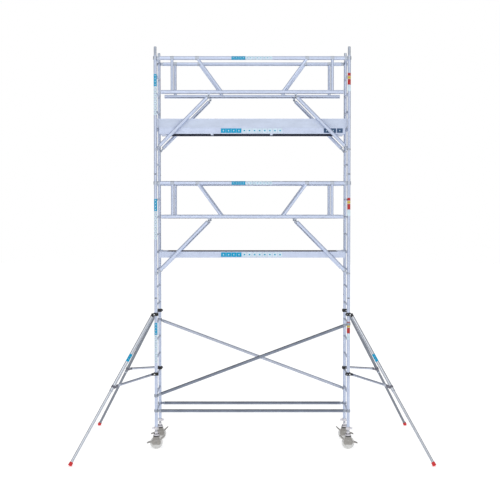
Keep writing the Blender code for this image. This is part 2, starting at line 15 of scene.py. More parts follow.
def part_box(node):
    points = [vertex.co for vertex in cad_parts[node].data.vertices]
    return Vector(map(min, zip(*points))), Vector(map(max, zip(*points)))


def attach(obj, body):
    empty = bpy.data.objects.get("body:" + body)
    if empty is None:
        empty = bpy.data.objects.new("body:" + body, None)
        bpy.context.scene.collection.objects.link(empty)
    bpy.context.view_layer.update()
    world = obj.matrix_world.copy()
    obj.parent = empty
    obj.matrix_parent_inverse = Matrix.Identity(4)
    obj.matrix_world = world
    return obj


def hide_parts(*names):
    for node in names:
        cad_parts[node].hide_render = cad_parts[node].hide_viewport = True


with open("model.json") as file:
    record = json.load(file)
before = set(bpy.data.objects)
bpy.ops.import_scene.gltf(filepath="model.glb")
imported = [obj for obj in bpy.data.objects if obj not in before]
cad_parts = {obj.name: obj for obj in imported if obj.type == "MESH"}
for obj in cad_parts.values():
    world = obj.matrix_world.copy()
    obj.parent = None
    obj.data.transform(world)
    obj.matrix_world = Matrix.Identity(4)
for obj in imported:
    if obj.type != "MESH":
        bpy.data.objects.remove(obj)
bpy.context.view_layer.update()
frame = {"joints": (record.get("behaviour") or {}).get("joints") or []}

JOINTS = {joint["name"]: joint for joint in frame["joints"]}
SIDES = (("left", -1), ("right", 1))
FACES = (("front", -1), ("rear", 1))
CORNERS = [(f"{face}_{side}", face_sign, side_sign) for face, face_sign in FACES for side, side_sign in SIDES]
DECKS = ("lower", "upper")
UP = Vector((0, 0, 1))
SIDEWAYS, UPWARDS = (-1, 1), (1, -1)
# Turns an outline drawn in Y and Z so that its thickness runs along X.
ALONG_X = Matrix(((0, 1, 0), (0, 0, 1), (1, 0, 0))).transposed().to_4x4()

# Sizes that the CAD source fixes.
RUNG_PITCH = 0.28
RUNGS_PER_FRAME = 7
LEG_RADIUS, LEG_WALL = 0.025, 0.0021
RUNG_RADIUS = 0.016
SPIGOT_RADIUS, SPIGOT_LENGTH, SPIGOT_WALL = 0.0215, 0.14, 0.003
RAIL_RADIUS, INFILL_RADIUS, STRUT_RADIUS, BRACE_RADIUS = 0.030, 0.0225, 0.0275, 0.025
TOP_RAIL_DROP, KNEE_RAIL_LIFT = 0.021, 0.009
CLAW_INNER, CLAW_OUTER, CLAW_HEIGHT, NECK_WIDTH = 0.0262, 0.0335, 0.036, 0.030
DECK_OVER_RUNG, BEAM_HEIGHT, BEAM_WIDTH = 0.015, 0.097, 0.030
KNEE_RUNGS, TOP_RUNGS = 2, 4
STRUT_AIM_LIFT, STRUT_STOP = 0.020, 0.042
KNEE_RAIL_END, UPRIGHT_X = 1.435, 1.26
DIAGONAL_KNEE_X, DIAGONAL_TOP_X = 0.478, 0.865
DECK_BEAM_END, BOARD_DEPTH = 1.470, 0.0106
CROSS_BEAM_X = (-0.65, 0.31)
WHEEL_RADIUS = 0.10
PIVOT_Z = 0.139
CHEEK_INNER, CHEEK_OUTER = 0.0290, 0.0340
ARM_INNER, ARM_OUTER = 0.0370, 0.0400
SPINDLE_RADIUS = 0.0182
HEAD_OFFSET, FOOT_HEIGHT, FOOT_SOLE_Z = 0.060, 0.0366, 0.0002
OUTER_TUBE_RADIUS, INNER_TUBE_RADIUS = 0.025, 0.0216
OUTER_SHARE, INNER_START, COLLAR_SHARE = 0.53, 0.38, 0.50
LOWER_CLAMP_DROP = 0.9495
CLAMP_INNER, CLAMP_OUTER, CLAMP_HEIGHT = 0.0262, 0.0380, 0.050
STABILISER_BRACE_RADIUS = 0.019
BRACE_END = (0.765, 1.100)

# Rounding of a bar's end, which is also its play to the tube that it meets, and size of the welds.
BAR_EDGE, WELD_RADIUS = 0.0008, 0.0032

LEG = {name: Vector(JOINTS[f"{name}_stabiliser_swing"]["pos_m"]) for name, _, _ in CORNERS}
HEAD_Z = LEG["front_left"].z
DECK_TOP = {deck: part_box(f"{deck}_deck_frame")[1].z for deck in DECKS}


# ---------------------------------------------------------------- points and outlines


def circle(radius, z=0.0, sides=32):
    turns = [math.tau * i / sides for i in range(sides)]
    return [Vector((radius * math.cos(a), radius * math.sin(a), z)) for a in turns]


def turned(profile, sides=32):
    """Rings of a turned shape, from (radius, height) pairs."""
    return [circle(radius, z, sides) for radius, z in profile]


def rod_profile(radius, start, end, edge=0.001):
    return [(radius - edge, start), (radius, start + edge), (radius, end - edge), (radius - edge, end)]


def tube_profile(radius, wall, start, end, edge=0.0006):
    """Closed loop: up the outside and down the bore."""
    inner = radius - wall
    outside = rod_profile(radius, start, end, edge)
    inside = [(inner + edge / 2, end), (inner, end - edge), (inner, start + edge), (inner + edge / 2, start)]
    return [*outside, *inside]


def arc(centre, radius, start, end, steps):
    """Flat points along an arc, angles in degrees."""
    angles = [math.radians(start + (end - start) * i / steps) for i in range(steps + 1)]
    return [Vector((centre[0] + radius * math.cos(a), centre[1] + radius * math.sin(a))) for a in angles]


def rounded(low, high, radius, steps=4):
    """Outline of a rectangle with round corners, anticlockwise."""
    (x0, y0), (x1, y1) = low, high
    corners = [((x1, y0), 270), ((x1, y1), 0), ((x0, y1), 90), ((x0, y0), 180)]
    middle = ((x0 + x1) / 2, (y0 + y1) / 2)
    points = []
    for (x, y), start in corners:
        centre = (x - math.copysign(radius, x - middle[0]), y - math.copysign(radius, y - middle[1]))
        points += arc(centre, radius, start, start + 90, steps)
    return points


def stroke(path, width, taper=None):
    """Outline of a bar of the given width along a path, with round ends."""
    path = [Vector(p) for p in path]
    left, right = [], []
    for i, here in enumerate(path):
        along = (path[min(i + 1, len(path) - 1)] - path[max(i - 1, 0)]).normalized()
        half = width / 2 * (taper(i / (len(path) - 1)) if taper else 1)
        normal = Vector((-along.y, along.x)) * half
        left.append(here + normal)
        right.append(here - normal)
    ends = []
    for here, other, edge in ((path[-1], path[-2], right[-1]), (path[0], path[1], left[0])):
        out = (here - other).normalized() * (edge - here).length
        side = edge - here
        turns = [math.radians(a) for a in (30, 60, 90, 120, 150)]
        ends.append([here + side * math.cos(a) + out * math.sin(a) for a in turns])
    return right + ends[0] + left[::-1] + ends[1]


def smooth_path(points, steps=6):
    """Catmull-Rom curve through flat points."""
    points = [Vector(p) for p in points]
    ends = [points[0] * 2 - points[1], *points, points[-1] * 2 - points[-2]]
    curve = []
    for a, b, c, d in zip(ends, ends[1:], ends[2:], ends[3:]):
        for i in range(steps):
            t = i / steps
            bend, twist = a * 2 - b * 5 + c * 4 - d, b * 3 - a - c * 3 + d
            curve.append((b * 2 + (c - a) * t + bend * t**2 + twist * t**3) / 2)
    return [*curve, points[-1]]


def inset(outline, amount):
    """The anticlockwise outline moved inwards."""
    moved = []
    for before, here, after in zip(outline[-1:] + outline[:-1], outline, outline[1:] + outline[:1]):
        first, second = (here - before).normalized(), (after - here).normalized()
        inward = Vector((-first.y - second.y, first.x + second.x)).normalized()
        moved.append(here + inward * (amount / max(0.4, inward.dot(Vector((-first.y, first.x))))))
    return moved


def area(outline):
    pairs = zip(outline, outline[1:] + outline[:1])
    return sum(a.x * b.y - b.x * a.y for a, b in pairs) / 2


def prism(outline, low, high, edge=0.001):
    """Rings of a flat shape with rounded rims, from height low to high."""
    outline = [Vector(p) for p in outline]
    if area(outline) < 0:
        outline.reverse()
    rims = [(1.0, 0.0), (0.293, 0.293), (0.0, 1.0)]
    levels = [(amount * edge, low + rise * edge) for amount, rise in rims]
    levels += [(amount * edge, high - rise * edge) for amount, rise in reversed(rims)]
    return [[Vector((p.x, p.y, z)) for p in inset(outline, amount)] for amount, z in levels]


def facing(start, end, up=UP):
    """Matrix whose Z runs from start to end and whose X lies as near up as it can."""
    z = (Vector(end) - Vector(start)).normalized()
    y = z.cross(up)
    y = y.normalized() if y.length > 1e-6 else z.cross(Vector((1, 0, 0))).normalized()
    x = y.cross(z)
    return Matrix.Translation(Vector(start)) @ Matrix((x, y, z)).transposed().to_4x4()


def upright(x, y, z=0.0, turn=0.0):
    return Matrix.Translation((x, y, z)) @ Matrix.Rotation(math.radians(turn), 4, "Z")


def edgewise(x, y, z, flip=1):
    """Matrix for a flat outline drawn in X and Z, whose thickness runs along Y."""
    axes = Matrix(((flip, 0, 0), (0, 0, 1), (0, 1, 0))).transposed().to_4x4()
    return Matrix.Translation((x, y, z)) @ axes


def ordered(sign, first, second):
    """Two places on the side that sign gives, the lower one first."""
    return sorted((sign * first, sign * second))


def mirrored(half, flip):
    """Half an outline and its mirror image as one loop: flip is SIDEWAYS or UPWARDS."""
    return [*half, *((x * flip[0], y * flip[1]) for x, y in reversed(half))]


def distance_to_tube(point, direction, tube):
    """How far a line runs from a point to a round tube, given as (point, direction, radius)."""
    centre, axis, radius = tube
    across = direction - axis * direction.dot(axis)
    offset = point - centre
    offset = offset - axis * offset.dot(axis)
    a, b, c = across.dot(across), 2 * across.dot(offset), offset.dot(offset) - radius**2
    return (-b - math.sqrt(max(b * b - 4 * a * c, 0.0))) / (2 * a)


# ---------------------------------------------------------------- pieces


class Piece:
    """Closed shapes gathered into one mesh. Each face has a finish, each point its grain."""

    def __init__(self):
        self.points, self.grain, self.faces, self.face_finish, self.finishes = [], [], [], [], []
        self.shapes = 0

    def add(self, rings, finish, place=None, wrap=False):
        """Skins rings of points: wrap joins the last ring to the first, else the ends are closed."""
        place = place or Matrix.Identity(4)
        first, size, count = len(self.points), len(rings[0]), len(rings)
        local = [p for ring in rings for p in ring]
        world = [place @ p for p in local]
        faces = []
        for i in range(count if wrap else count - 1):
            a, b = i * size, (i + 1) % count * size
            faces += [(a + j, a + (j + 1) % size, b + (j + 1) % size, b + j) for j in range(size)]
        if not wrap:
            faces.append(tuple(reversed(range(size))))
            faces.append(tuple(range((count - 1) * size, count * size)))
        if volume(world, faces) < 0:
            faces = [face[::-1] for face in faces]
        if finish not in self.finishes:
            self.finishes.append(finish)
        self.shapes += 1
        shift = Vector((0.37, 0.71, 1.31)) * self.shapes
        self.points += world
        self.grain += [p + shift for p in local]
        self.faces += [tuple(first + k for k in face) for face in faces]
        self.face_finish += [self.finishes.index(finish)] * len(faces)

    def refinish(self, first, finish, wanted):
        """Gives another finish to those faces from number first on whose points are wanted."""
        if finish not in self.finishes:
            self.finishes.append(finish)
        number = self.finishes.index(finish)
        for k in range(first, len(self.faces)):
            if wanted([self.points[i] for i in self.faces[k]]):
                self.face_finish[k] = number

    def bar(self, section, start, end, finish, meets=(None, None), weld=None):
        """A straight bar; at an end that meets a tube it is cut to the tube's surface and may be welded."""
        start, end = Vector(start), Vector(end)
        place = facing(start, end)
        along, length = (end - start).normalized(), (end - start).length
        middle = length / 2
        ends = []
        for tube, sign, stop in ((meets[0], -1, 0.0), (meets[1], 1, length)):
            if tube is None:
                ends.append([stop] * len(section))
                continue
            starts = [place @ Vector((p.x, p.y, middle)) for p in section]
            runs = [distance_to_tube(p, along * sign, tube) + BAR_EDGE for p in starts]
            ends.append([middle + sign * run for run in runs])
        rings = []
        for stops, tube, sign in ((ends[0], meets[0], 1), (ends[1], meets[1], -1)):
            ring = [Vector((p.x, p.y, z)) for p, z in zip(section, stops)]
            if tube is None:
                shrunk = [p * (1 - BAR_EDGE / max(p.length, BAR_EDGE)) for p in section]
                tip = [Vector((p.x, p.y, z)) for p, z in zip(shrunk, stops)]
                ring = [p + UP * sign * BAR_EDGE for p in ring]
                rings += [tip, ring] if sign > 0 else [ring, tip]
            else:
                rings.append(ring)
        self.add(rings, finish, place)
        for stops, tube, sign in ((ends[0], meets[0], 1), (ends[1], meets[1], -1)):
            if tube is not None and weld:
                self.bead([Vector((p.x, p.y, z)) for p, z in zip(section, stops)], sign, weld, place)

    def bead(self, line, sign, finish, place):
        """A weld bead along the closed line where a bar meets a tube, with the welder's ripples."""
        rings = []
        for i, p in enumerate(line):
            out = Vector((p.x, p.y, 0)).normalized()
            ripple = WELD_RADIUS * (1 + 0.16 * math.sin(i * 2.1) + 0.12 * noise.noise(p * 190))
            turns = [math.tau * k / 7 for k in range(7)]
            rings.append([p + (out * math.cos(a) + UP * sign * math.sin(a)) * ripple for a in turns])
        self.add(rings, finish, place, wrap=True)

    def bolt(self, place, length, size, finish):
        """Hexagon bolt and nut along Z with washers, centred on the origin: size is the thread's radius."""
        half = length / 2
        washer_top = half + size * 0.3
        self.add(turned(rod_profile(size, -half - size, half + size * 1.6, 0.0006), 16), finish, place)
        for sign in (-1, 1):
            base = place @ Matrix.Scale(sign, 4, UP)
            self.add(turned(rod_profile(size * 2.1, half, washer_top, 0.0003), 24), finish, base)
            hexagon = flat(circle(size * 1.9, 0, 6))
            self.add(prism(hexagon, washer_top, half + size * 1.4, size * 0.15), finish, base)

    def rivet(self, point, out, size, finish):
        dome = [(1.0, -0.5), (1.0, 0.0), (0.87, 0.28), (0.5, 0.5), (0.12, 0.58)]
        rings = turned([(radius * size, z * size) for radius, z in dome], 12)
        self.add(rings, finish, facing(point, point + out))

    def finish(self, name, body, slot, replaces=()):
        """Makes the object, puts it on its body and hides the CAD parts that it replaces."""
        mesh = bpy.data.meshes.new(name)
        mesh.from_pydata(self.points, [], self.faces)
        mesh.polygons.foreach_set("material_index", self.face_finish)
        for finish in self.finishes:
            mesh.materials.append(MATERIALS[finish])
        grain = mesh.attributes.new("grain", "FLOAT_VECTOR", "POINT")
        grain.data.foreach_set("vector", np.array(self.grain, np.float32).ravel())
        mesh.shade_smooth()
        mesh.set_sharp_from_angle(angle=math.radians(38))
        mesh.update()
        piece = bpy.data.objects.new(name, mesh)
        bpy.context.scene.collection.objects.link(piece)
        weighted = piece.modifiers.new("Weighted normals", "WEIGHTED_NORMAL")
        weighted.keep_sharp = True
        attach(piece, body)
        if replaces:
            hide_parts(*replaces)
        return piece


def volume(points, faces):
    """Six times the signed volume of a closed shape."""
    total = 0.0
    for face in faces:
        a = points[face[0]]
        for k in range(1, len(face) - 1):
            total += a.dot(points[face[k]].cross(points[face[k + 1]]))
    return total


def flat(points):
    return [Vector((p.x, p.y)) for p in points]


def ribbed(radius, ribs, depth):
    """Section of a rung: rounded ribs all round for grip."""
    sides = ribs * 4
    levels = (0.0, 0.55, 1.0, 0.55)
    angles = [math.tau * i / sides for i in range(sides)]
    radii = [radius - depth * levels[i % 4] for i in range(sides)]
    return [Vector((r * math.cos(a), r * math.sin(a))) for r, a in zip(radii, angles)]


def threaded(radius, depth, pitch, start, end):
    """Rings of a screw thread, smooth for a turn at each end."""
    rings, sides, steps = [], 24, 8
    count = round((end - start) / pitch * steps)
    for i in range(count + 1):
        z = start + (end - start) * i / count
        fade = min(1.0, (z - start) / pitch, (end - z) / pitch)
        ring = []
        for j in range(sides):
            phase = (z / pitch - j / sides) % 1.0
            groove = min(1.0, max(0.0, 1.6 - abs(phase - 0.5) * 6.4))
            a = math.tau * j / sides
            r = radius - depth * groove * fade
            ring.append(Vector((r * math.cos(a), r * math.sin(a), z)))
        rings.append(ring)
    return rings


# ---------------------------------------------------------------- the tower's parts


def claw(piece, place, sweep, height, finish):
    """Open ring that hugs a leg, its back towards +X, with its spring catch across the mouth."""
    tip, half = sweep / 2, height / 2
    middle = (CLAW_INNER + CLAW_OUTER) / 2
    jaws = stroke(arc((0, 0), middle, -tip, tip, round(sweep / 8)), CLAW_OUTER - CLAW_INNER)
    piece.add(prism(jaws, -half, half, 0.0014), finish, place)
    lever = stroke(arc((0, 0), middle, tip - 6, tip + 52, 7), 0.0045)
    piece.add(prism(lever, -0.007, 0.007, 0.001), "clip_steel", place)
    pin = Matrix.Translation((*arc((0, 0), middle, tip - 8, tip - 7, 1)[0], 0))
    piece.add(turned(rod_profile(0.0026, -half - 0.002, half + 0.002, 0.0008), 12), "clip_steel", place @ pin)


def neck(piece, start, end, radius, height, finish):
    """Casting that runs from a round tube to the back of a claw."""
    place = facing(start, end)
    length = (Vector(end) - Vector(start)).length
    box = rounded((-height / 2, -NECK_WIDTH / 2), (height / 2, NECK_WIDTH / 2), 0.006, 7)
    rings = []
    for share, round_part in ((0.0, 1.0), (0.12, 1.0), (0.45, 0.55), (0.8, 0.1), (1.0, 0.0)):
        ring = []
        for p in box:
            on_circle = p.normalized() * (radius + 0.0012)
            q = on_circle * round_part + p * (1 - round_part)
            ring.append(Vector((q.x, q.y, share * length)))
        rings.append(ring)
    piece.add(rings, finish, place)


def ladder_frame(side, level, number):
    """Two legs, their spigots and seven ribbed rungs welded between them."""
    node = f"{side}_{level}_frame"
    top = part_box(node)[1].z - SPIGOT_LENGTH
    bottom = top - RUNGS_PER_FRAME * RUNG_PITCH + 0.0003
    piece = Piece()
    legs = [LEG[f"{face}_{side}"] for face, _ in FACES]
    for leg in legs:
        place = upright(leg.x, leg.y)
        piece.add(turned(tube_profile(LEG_RADIUS, LEG_WALL, bottom, top), 40), "aluminium", place, wrap=True)
        spigot_end = top + SPIGOT_LENGTH
        outer, inner = SPIGOT_RADIUS, SPIGOT_RADIUS - SPIGOT_WALL
        spigot = [
            (outer, top - 0.05), (outer, top + 0.004), (outer - 0.0008, top + 0.008),
            (outer, top + 0.012), (outer, spigot_end - 0.014), (outer - 0.003, spigot_end),
            (inner - 0.001, spigot_end), (inner - 0.001, spigot_end - 0.02), (inner, top - 0.05),
        ]
        piece.add(turned(spigot, 36), "cast_aluminium", place, wrap=True)
        # Dimples that hold the spigot in the leg, and the hole that its locking clip enters.
        for out in (Vector((1, 0, 0)), Vector((-1, 0, 0))):
            base = Vector((leg.x, leg.y, top - 0.025))
            piece.rivet(base + out * (LEG_RADIUS - 0.0004), out, 0.0045, "cast_aluminium")
    section = ribbed(RUNG_RADIUS, 18, 0.0011)
    first_rung = DECK_TOP["lower"] - DECK_OVER_RUNG - 9 * RUNG_PITCH
    for rung in range(RUNGS_PER_FRAME):
        z = first_rung + (number * RUNGS_PER_FRAME + rung) * RUNG_PITCH
        start, end = Vector((legs[0].x, legs[0].y, z)), Vector((legs[1].x, legs[1].y, z))
        tubes = [(start, UP, LEG_RADIUS), (end, UP, LEG_RADIUS)]
        piece.bar(section, start, end, "rung", tubes, "weld")
    piece.finish(f"{side}_{level}_ladder", "tower", "aluminium", [node])
    if number:
        locking_clips(side, level, legs, bottom)
    else:
        adjusting_nuts(side, legs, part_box(node)[0].z)


def locking_clips(side, level, legs, joint_z):
    """Spring clips that pin each leg to the spigot below it."""
    piece = Piece()
    z = joint_z + 0.10
    for leg in legs:
        out = Vector((0, math.copysign(1, leg.y), 0))
        place = upright(leg.x, leg.y, z, 90 * out.y)
        wire = stroke(arc((0, 0), LEG_RADIUS + 0.0022, -118, 118, 24), 0.0028)
        piece.add(prism(wire, -0.0045, 0.0045, 0.0009), "clip_steel", place)
        base = Vector((leg.x, leg.y, z)) + out * (LEG_RADIUS + 0.001)
        boss = [(0.0085, 0), (0.0085, 0.006), (0.0075, 0.0075), (0.004, 0.0082)]
        piece.add(turned(boss, 20), "black_coat", facing(base, base + out))
    piece.finish(f"{side}_{level}_locking_clips", "tower", "black_clamp")


def adjusting_nuts(side, legs, bottom):
    """Winged nuts under the base frame that the castor spindles screw through."""
    piece = Piece()
    for leg in legs:
        place = upright(leg.x, leg.y, bottom)
        collar = [
            (0.0196, 0.0), (0.031, 0.0), (0.0340, 0.002), (0.0368, 0.007), (0.0368, 0.012),
            (0.0350, 0.014), (0.0350, 0.030), (0.0366, 0.032), (0.0366, 0.037), (0.0345, 0.041),
            (0.0300, 0.0438), (0.0262, 0.0438), (0.0262, 0.0365), (0.0196, 0.0355),
        ]
        piece.add(turned(collar, 36), "castor_head", place, wrap=True)
        reach = math.copysign(1, leg.x) * -math.copysign(1, leg.y)
        wing = [
            (0.029, -0.0052), (0.054, -0.0062), (0.064, -0.0052), (0.0695, 0.0),
            (0.064, 0.0052), (0.054, 0.0062), (0.029, 0.0052),
        ]
        rib = mirrored([(0.030, 0.004), (0.046, 0.004)], UPWARDS)
        for outline, low, high, edge in ((wing, 0.004, 0.038, 0.003), (rib, 0.037, 0.042, 0.001)):
            piece.add(prism([(reach * x, y) for x, y in outline], low, high, edge), "castor_head", place)
    piece.finish(f"{side}_adjusting_nuts", "tower", "zinc_steel")


def deck(name):
    """Hook-on deck: profiled side beams, castings at the ends, cross beams, rung hooks."""
    half_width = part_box(f"{name}_deck_frame")[1].y
    top = DECK_TOP[name]
    rung_z = top - DECK_OVER_RUNG
    bottom, shelf = top - BEAM_HEIGHT, top - BOARD_DEPTH
    inner = half_width - BEAM_WIDTH
    beam_end = DECK_BEAM_END
    place = upright(0, 0, 0, 180 if name == "lower" else 0)
    piece = Piece()
    profile = [
        (0.0, 0.0), (0.030, 0.0), (0.030, 0.004), (0.029, 0.006), (0.029, 0.018), (0.030, 0.020),
        (0.030, 0.074), (0.0288, 0.076), (0.0288, 0.079), (0.030, 0.081),
        (0.030, BEAM_HEIGHT), (0.0, BEAM_HEIGHT),
    ]
    for sign in (-1, 1):
        section = [Vector((sign * (inner + y), bottom + z)) for y, z in profile]
        before = len(piece.faces)
        piece.add(prism(section, -beam_end, beam_end, 0.0007), "aluminium", ALONG_X)
        # The inner face gets a dark finish: painted shade for the shadow under the deck.
        piece.refinish(before, "painted_shade_metal", lambda points: max(abs(p.y) for p in points) < inner + 0.0005)
    for sign in (-1, 1):
        ends = ordered(sign, beam_end - 0.001, beam_end - 0.101)
        plan = rounded((ends[0], -inner - 0.004), (ends[1], inner + 0.004), 0.003, 2)
        piece.add(prism(plan, bottom + 0.003, top - 0.0015, 0.0015), "aluminium", place)
        for k in range(5):
            start = beam_end - 0.016 - 0.018 * k
            low_x, high_x = ordered(sign, start, start - 0.006)
            rib = rounded((low_x, -inner + 0.004), (high_x, inner - 0.004), 0.0015, 2)
            piece.add(prism(rib, top - 0.004, top - 0.0002, 0.0006), "aluminium", place)
        low_x, high_x = ordered(sign, beam_end - 0.100, beam_end - 0.126)
        ledge = rounded((low_x, -inner - 0.002), (high_x, inner + 0.002), 0.001, 2)
        piece.add(prism(ledge, bottom + 0.020, shelf, 0.0008), "aluminium", place)
        for y in (-0.25, 0.25):
            rung_hook(piece, Vector((sign * LEG["front_right"].x, y, rung_z)), -sign, place, beam_end)
        for y in (-half_width, half_width):
            for z in (0.020, 0.050, 0.080):
                out = Vector((0, math.copysign(1, y), 0))
                for x in (beam_end - 0.03, beam_end - 0.08):
                    piece.rivet(Vector((sign * x, y * 0.9998, bottom + z)), out, 0.0038, "cast_aluminium")
    for x in CROSS_BEAM_X:
        plan = rounded((x - 0.02, -inner - 0.002), (x + 0.02, inner + 0.002), 0.002, 2)
        piece.add(prism(plan, bottom + 0.015, shelf, 0.0012), "aluminium", place)
    piece.finish(f"{name}_deck_chassis", "tower", "aluminium", [f"{name}_deck_frame"])


def rung_hook(piece, rung, inward, place, beam_end):
    """Cast hook that drops over a rung."""
    reach = abs(rung.x) - beam_end + 0.012
    outer = 0.0262
    seat = RUNG_RADIUS + 0.0014
    outline = [
        *arc((0, 0), outer - 0.001, 180, 40, 12),
        (reach * 0.6, 0.024), (reach, 0.024), (reach, -0.012), (seat + 0.010, -0.012), (seat, -0.010),
        *arc((0, 0), seat, 0, 180, 14),
        (-seat, -0.010), (-outer + 0.001, -0.012),
    ]
    piece.add(prism(outline, -0.0145, 0.0145, 0.0015), "cast_aluminium", place @ edgewise(*rung, inward))


def slab(piece, low, high, finish, edge_finish, hole=None, edge=0.0008):
    """Flat board with its own finish on its cut edges, and maybe with a hole (x, y, radius)."""
    centre = Vector(hole[:2]) if hole else Vector((low + high).xy) / 2
    corners = [Vector((x, y)) - centre for x in (low.x, high.x) for y in (low.y, high.y)]
    angles = [math.atan2(c.y, c.x) for c in corners]
    angles = sorted(angles + [math.tau * (i + 0.5) / 40 - math.pi for i in range(40)])

    def rim(shrink, z):
        ring = []
        for a in angles:
            ray = Vector((math.cos(a), math.sin(a)))
            limits = []
            for axis in (0, 1):
                if abs(ray[axis]) > 1e-9:
                    side = high[axis] - shrink if ray[axis] > 0 else low[axis] + shrink
                    limits.append((side - centre[axis]) / ray[axis])
            ring.append(Vector((*(centre + ray * min(limits)), z)))
        return ring

    def bore(radius, z):
        return [Vector((centre.x + radius * math.cos(a), centre.y + radius * math.sin(a), z)) for a in angles]

    def upright_face(points):
        heights = [p.z for p in points]
        return max(heights) - min(heights) > edge * 0.5

    rings = [rim(edge, low.z), rim(0, low.z + edge), rim(0, high.z - edge), rim(edge, high.z)]
    if hole:
        radius = hole[2]
        rings += [bore(radius + edge, high.z), bore(radius, high.z - edge)]
        rings += [bore(radius, low.z + edge), bore(radius + edge, low.z)]
    before = len(piece.faces)
    piece.add(rings, finish, wrap=bool(hole))
    piece.refinish(before, edge_finish, upright_face)


def deck_board(name):
    """Fixed plywood board with the rivets that hold it to the beams."""
    low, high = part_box(f"{name}_deck_board")
    piece = Piece()
    slab(piece, low, high, "plywood", "plywood_edge")
    piece.finish(f"{name}_deck_plywood", "tower", "plywood", [f"{name}_deck_board"])
    rivets = Piece()
    spaces, end, side = 10, 0.030, 0.014
    pitch = (high.x - low.x - 2 * end) / spaces
    spots = [(low.x + end + pitch * i, y) for i in range(spaces + 1) for y in (low.y + side, high.y - side)]
    spots += [(x, y) for x in (low.x + side, high.x - side) for y in (-0.18, -0.06, 0.06, 0.18)]
    for x, y in spots:
        rivets.rivet(Vector((x, y, high.z - 0.0004)), UP, 0.0055, "zinc")
    rivets.finish(f"{name}_deck_rivets", "tower", "zinc_steel")


def hatch(name):
    """Hinged plywood lid with a finger hole, a latch and a piano hinge along one side."""
    low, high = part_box(f"{name}_hatch")
    hinge = JOINTS[f"{name}_hatch_hinge"]
    axis_y = hinge["pos_m"][1]
    away = -math.copysign(1, axis_y)
    middle = (low.x + high.x) / 2
    hole_y, latch_y = away * 0.205, away * 0.245
    body = f"{name}_hatch"
    piece = Piece()
    slab(piece, low, high, "plywood", "plywood_edge", (middle, hole_y, 0.016))
    piece.finish(f"{name}_hatch_lid", body, "plywood", [f"{name}_hatch"])
    fittings = Piece()
    ring = [
        (0.0165, -0.0006), (0.021, -0.0006), (0.022, 0.0004),
        (0.021, 0.0012), (0.0165, 0.0012), (0.0155, 0.0004),
    ]
    fittings.add(turned(ring, 36), "black_coat", upright(middle, hole_y, high.z), wrap=True)
    latch = rounded((middle + 0.06, latch_y - 0.014), (middle + 0.13, latch_y + 0.014), 0.005)
    fittings.add(prism(latch, high.z - 0.0005, high.z + 0.003, 0.0008), "zinc")
    thumb = rounded((middle + 0.084, latch_y - 0.006), (middle + 0.106, latch_y + 0.006), 0.004)
    fittings.add(prism(thumb, high.z + 0.002, high.z + 0.008, 0.0015), "black_coat")
    near_y, far_y = sorted((axis_y + away * 0.003, axis_y + away * 0.026))
    strap = rounded((low.x + 0.02, near_y), (high.x - 0.02, far_y), 0.002)
    fittings.add(prism(strap, high.z - 0.0004, high.z + 0.0012, 0.0004), "zinc")
    fixed = Piece()
    knuckles = 12
    pitch = (high.x - low.x - 0.04) / knuckles
    for i in range(knuckles):
        start = low.x + 0.02 + pitch * i
        place = facing((start, axis_y, high.z), (start + pitch, axis_y, high.z))
        target = fittings if i % 2 else fixed
        target.add(turned(rod_profile(0.0032, 0.001, pitch - 0.001, 0.0006), 16), "zinc", place)
        fittings.rivet(Vector((start + pitch / 2, axis_y + away * 0.016, high.z + 0.001)), UP, 0.004, "zinc")
    fittings.finish(f"{name}_hatch_fittings", body, "zinc_steel")
    fixed.finish(f"{name}_hatch_hinge_leaf", "tower", "zinc_steel")


def toe_board(name):
    """Kick board in a thin metal edging."""
    low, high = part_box(f"{name}_toe_board")
    piece = Piece()
    slab(piece, low, high, "toe_board", "toe_board", edge=0.002)
    # The edging stands a little off the faces and ends a little short of the board.
    proud, short = 0.0008, -0.002
    x, y = (short, proud) if high.x - low.x > high.y - low.y else (proud, short)
    plan = rounded((low.x - x, low.y - y), (high.x + x, high.y + y), 0.001, 2)
    for bottom in (low.z, high.z - 0.010):
        piece.add(prism(plan, bottom - 0.0002, bottom + 0.0102, 0.0008), "aluminium")
    piece.finish(f"{name}_kick_board", "tower", "toe_board", [f"{name}_toe_board"])


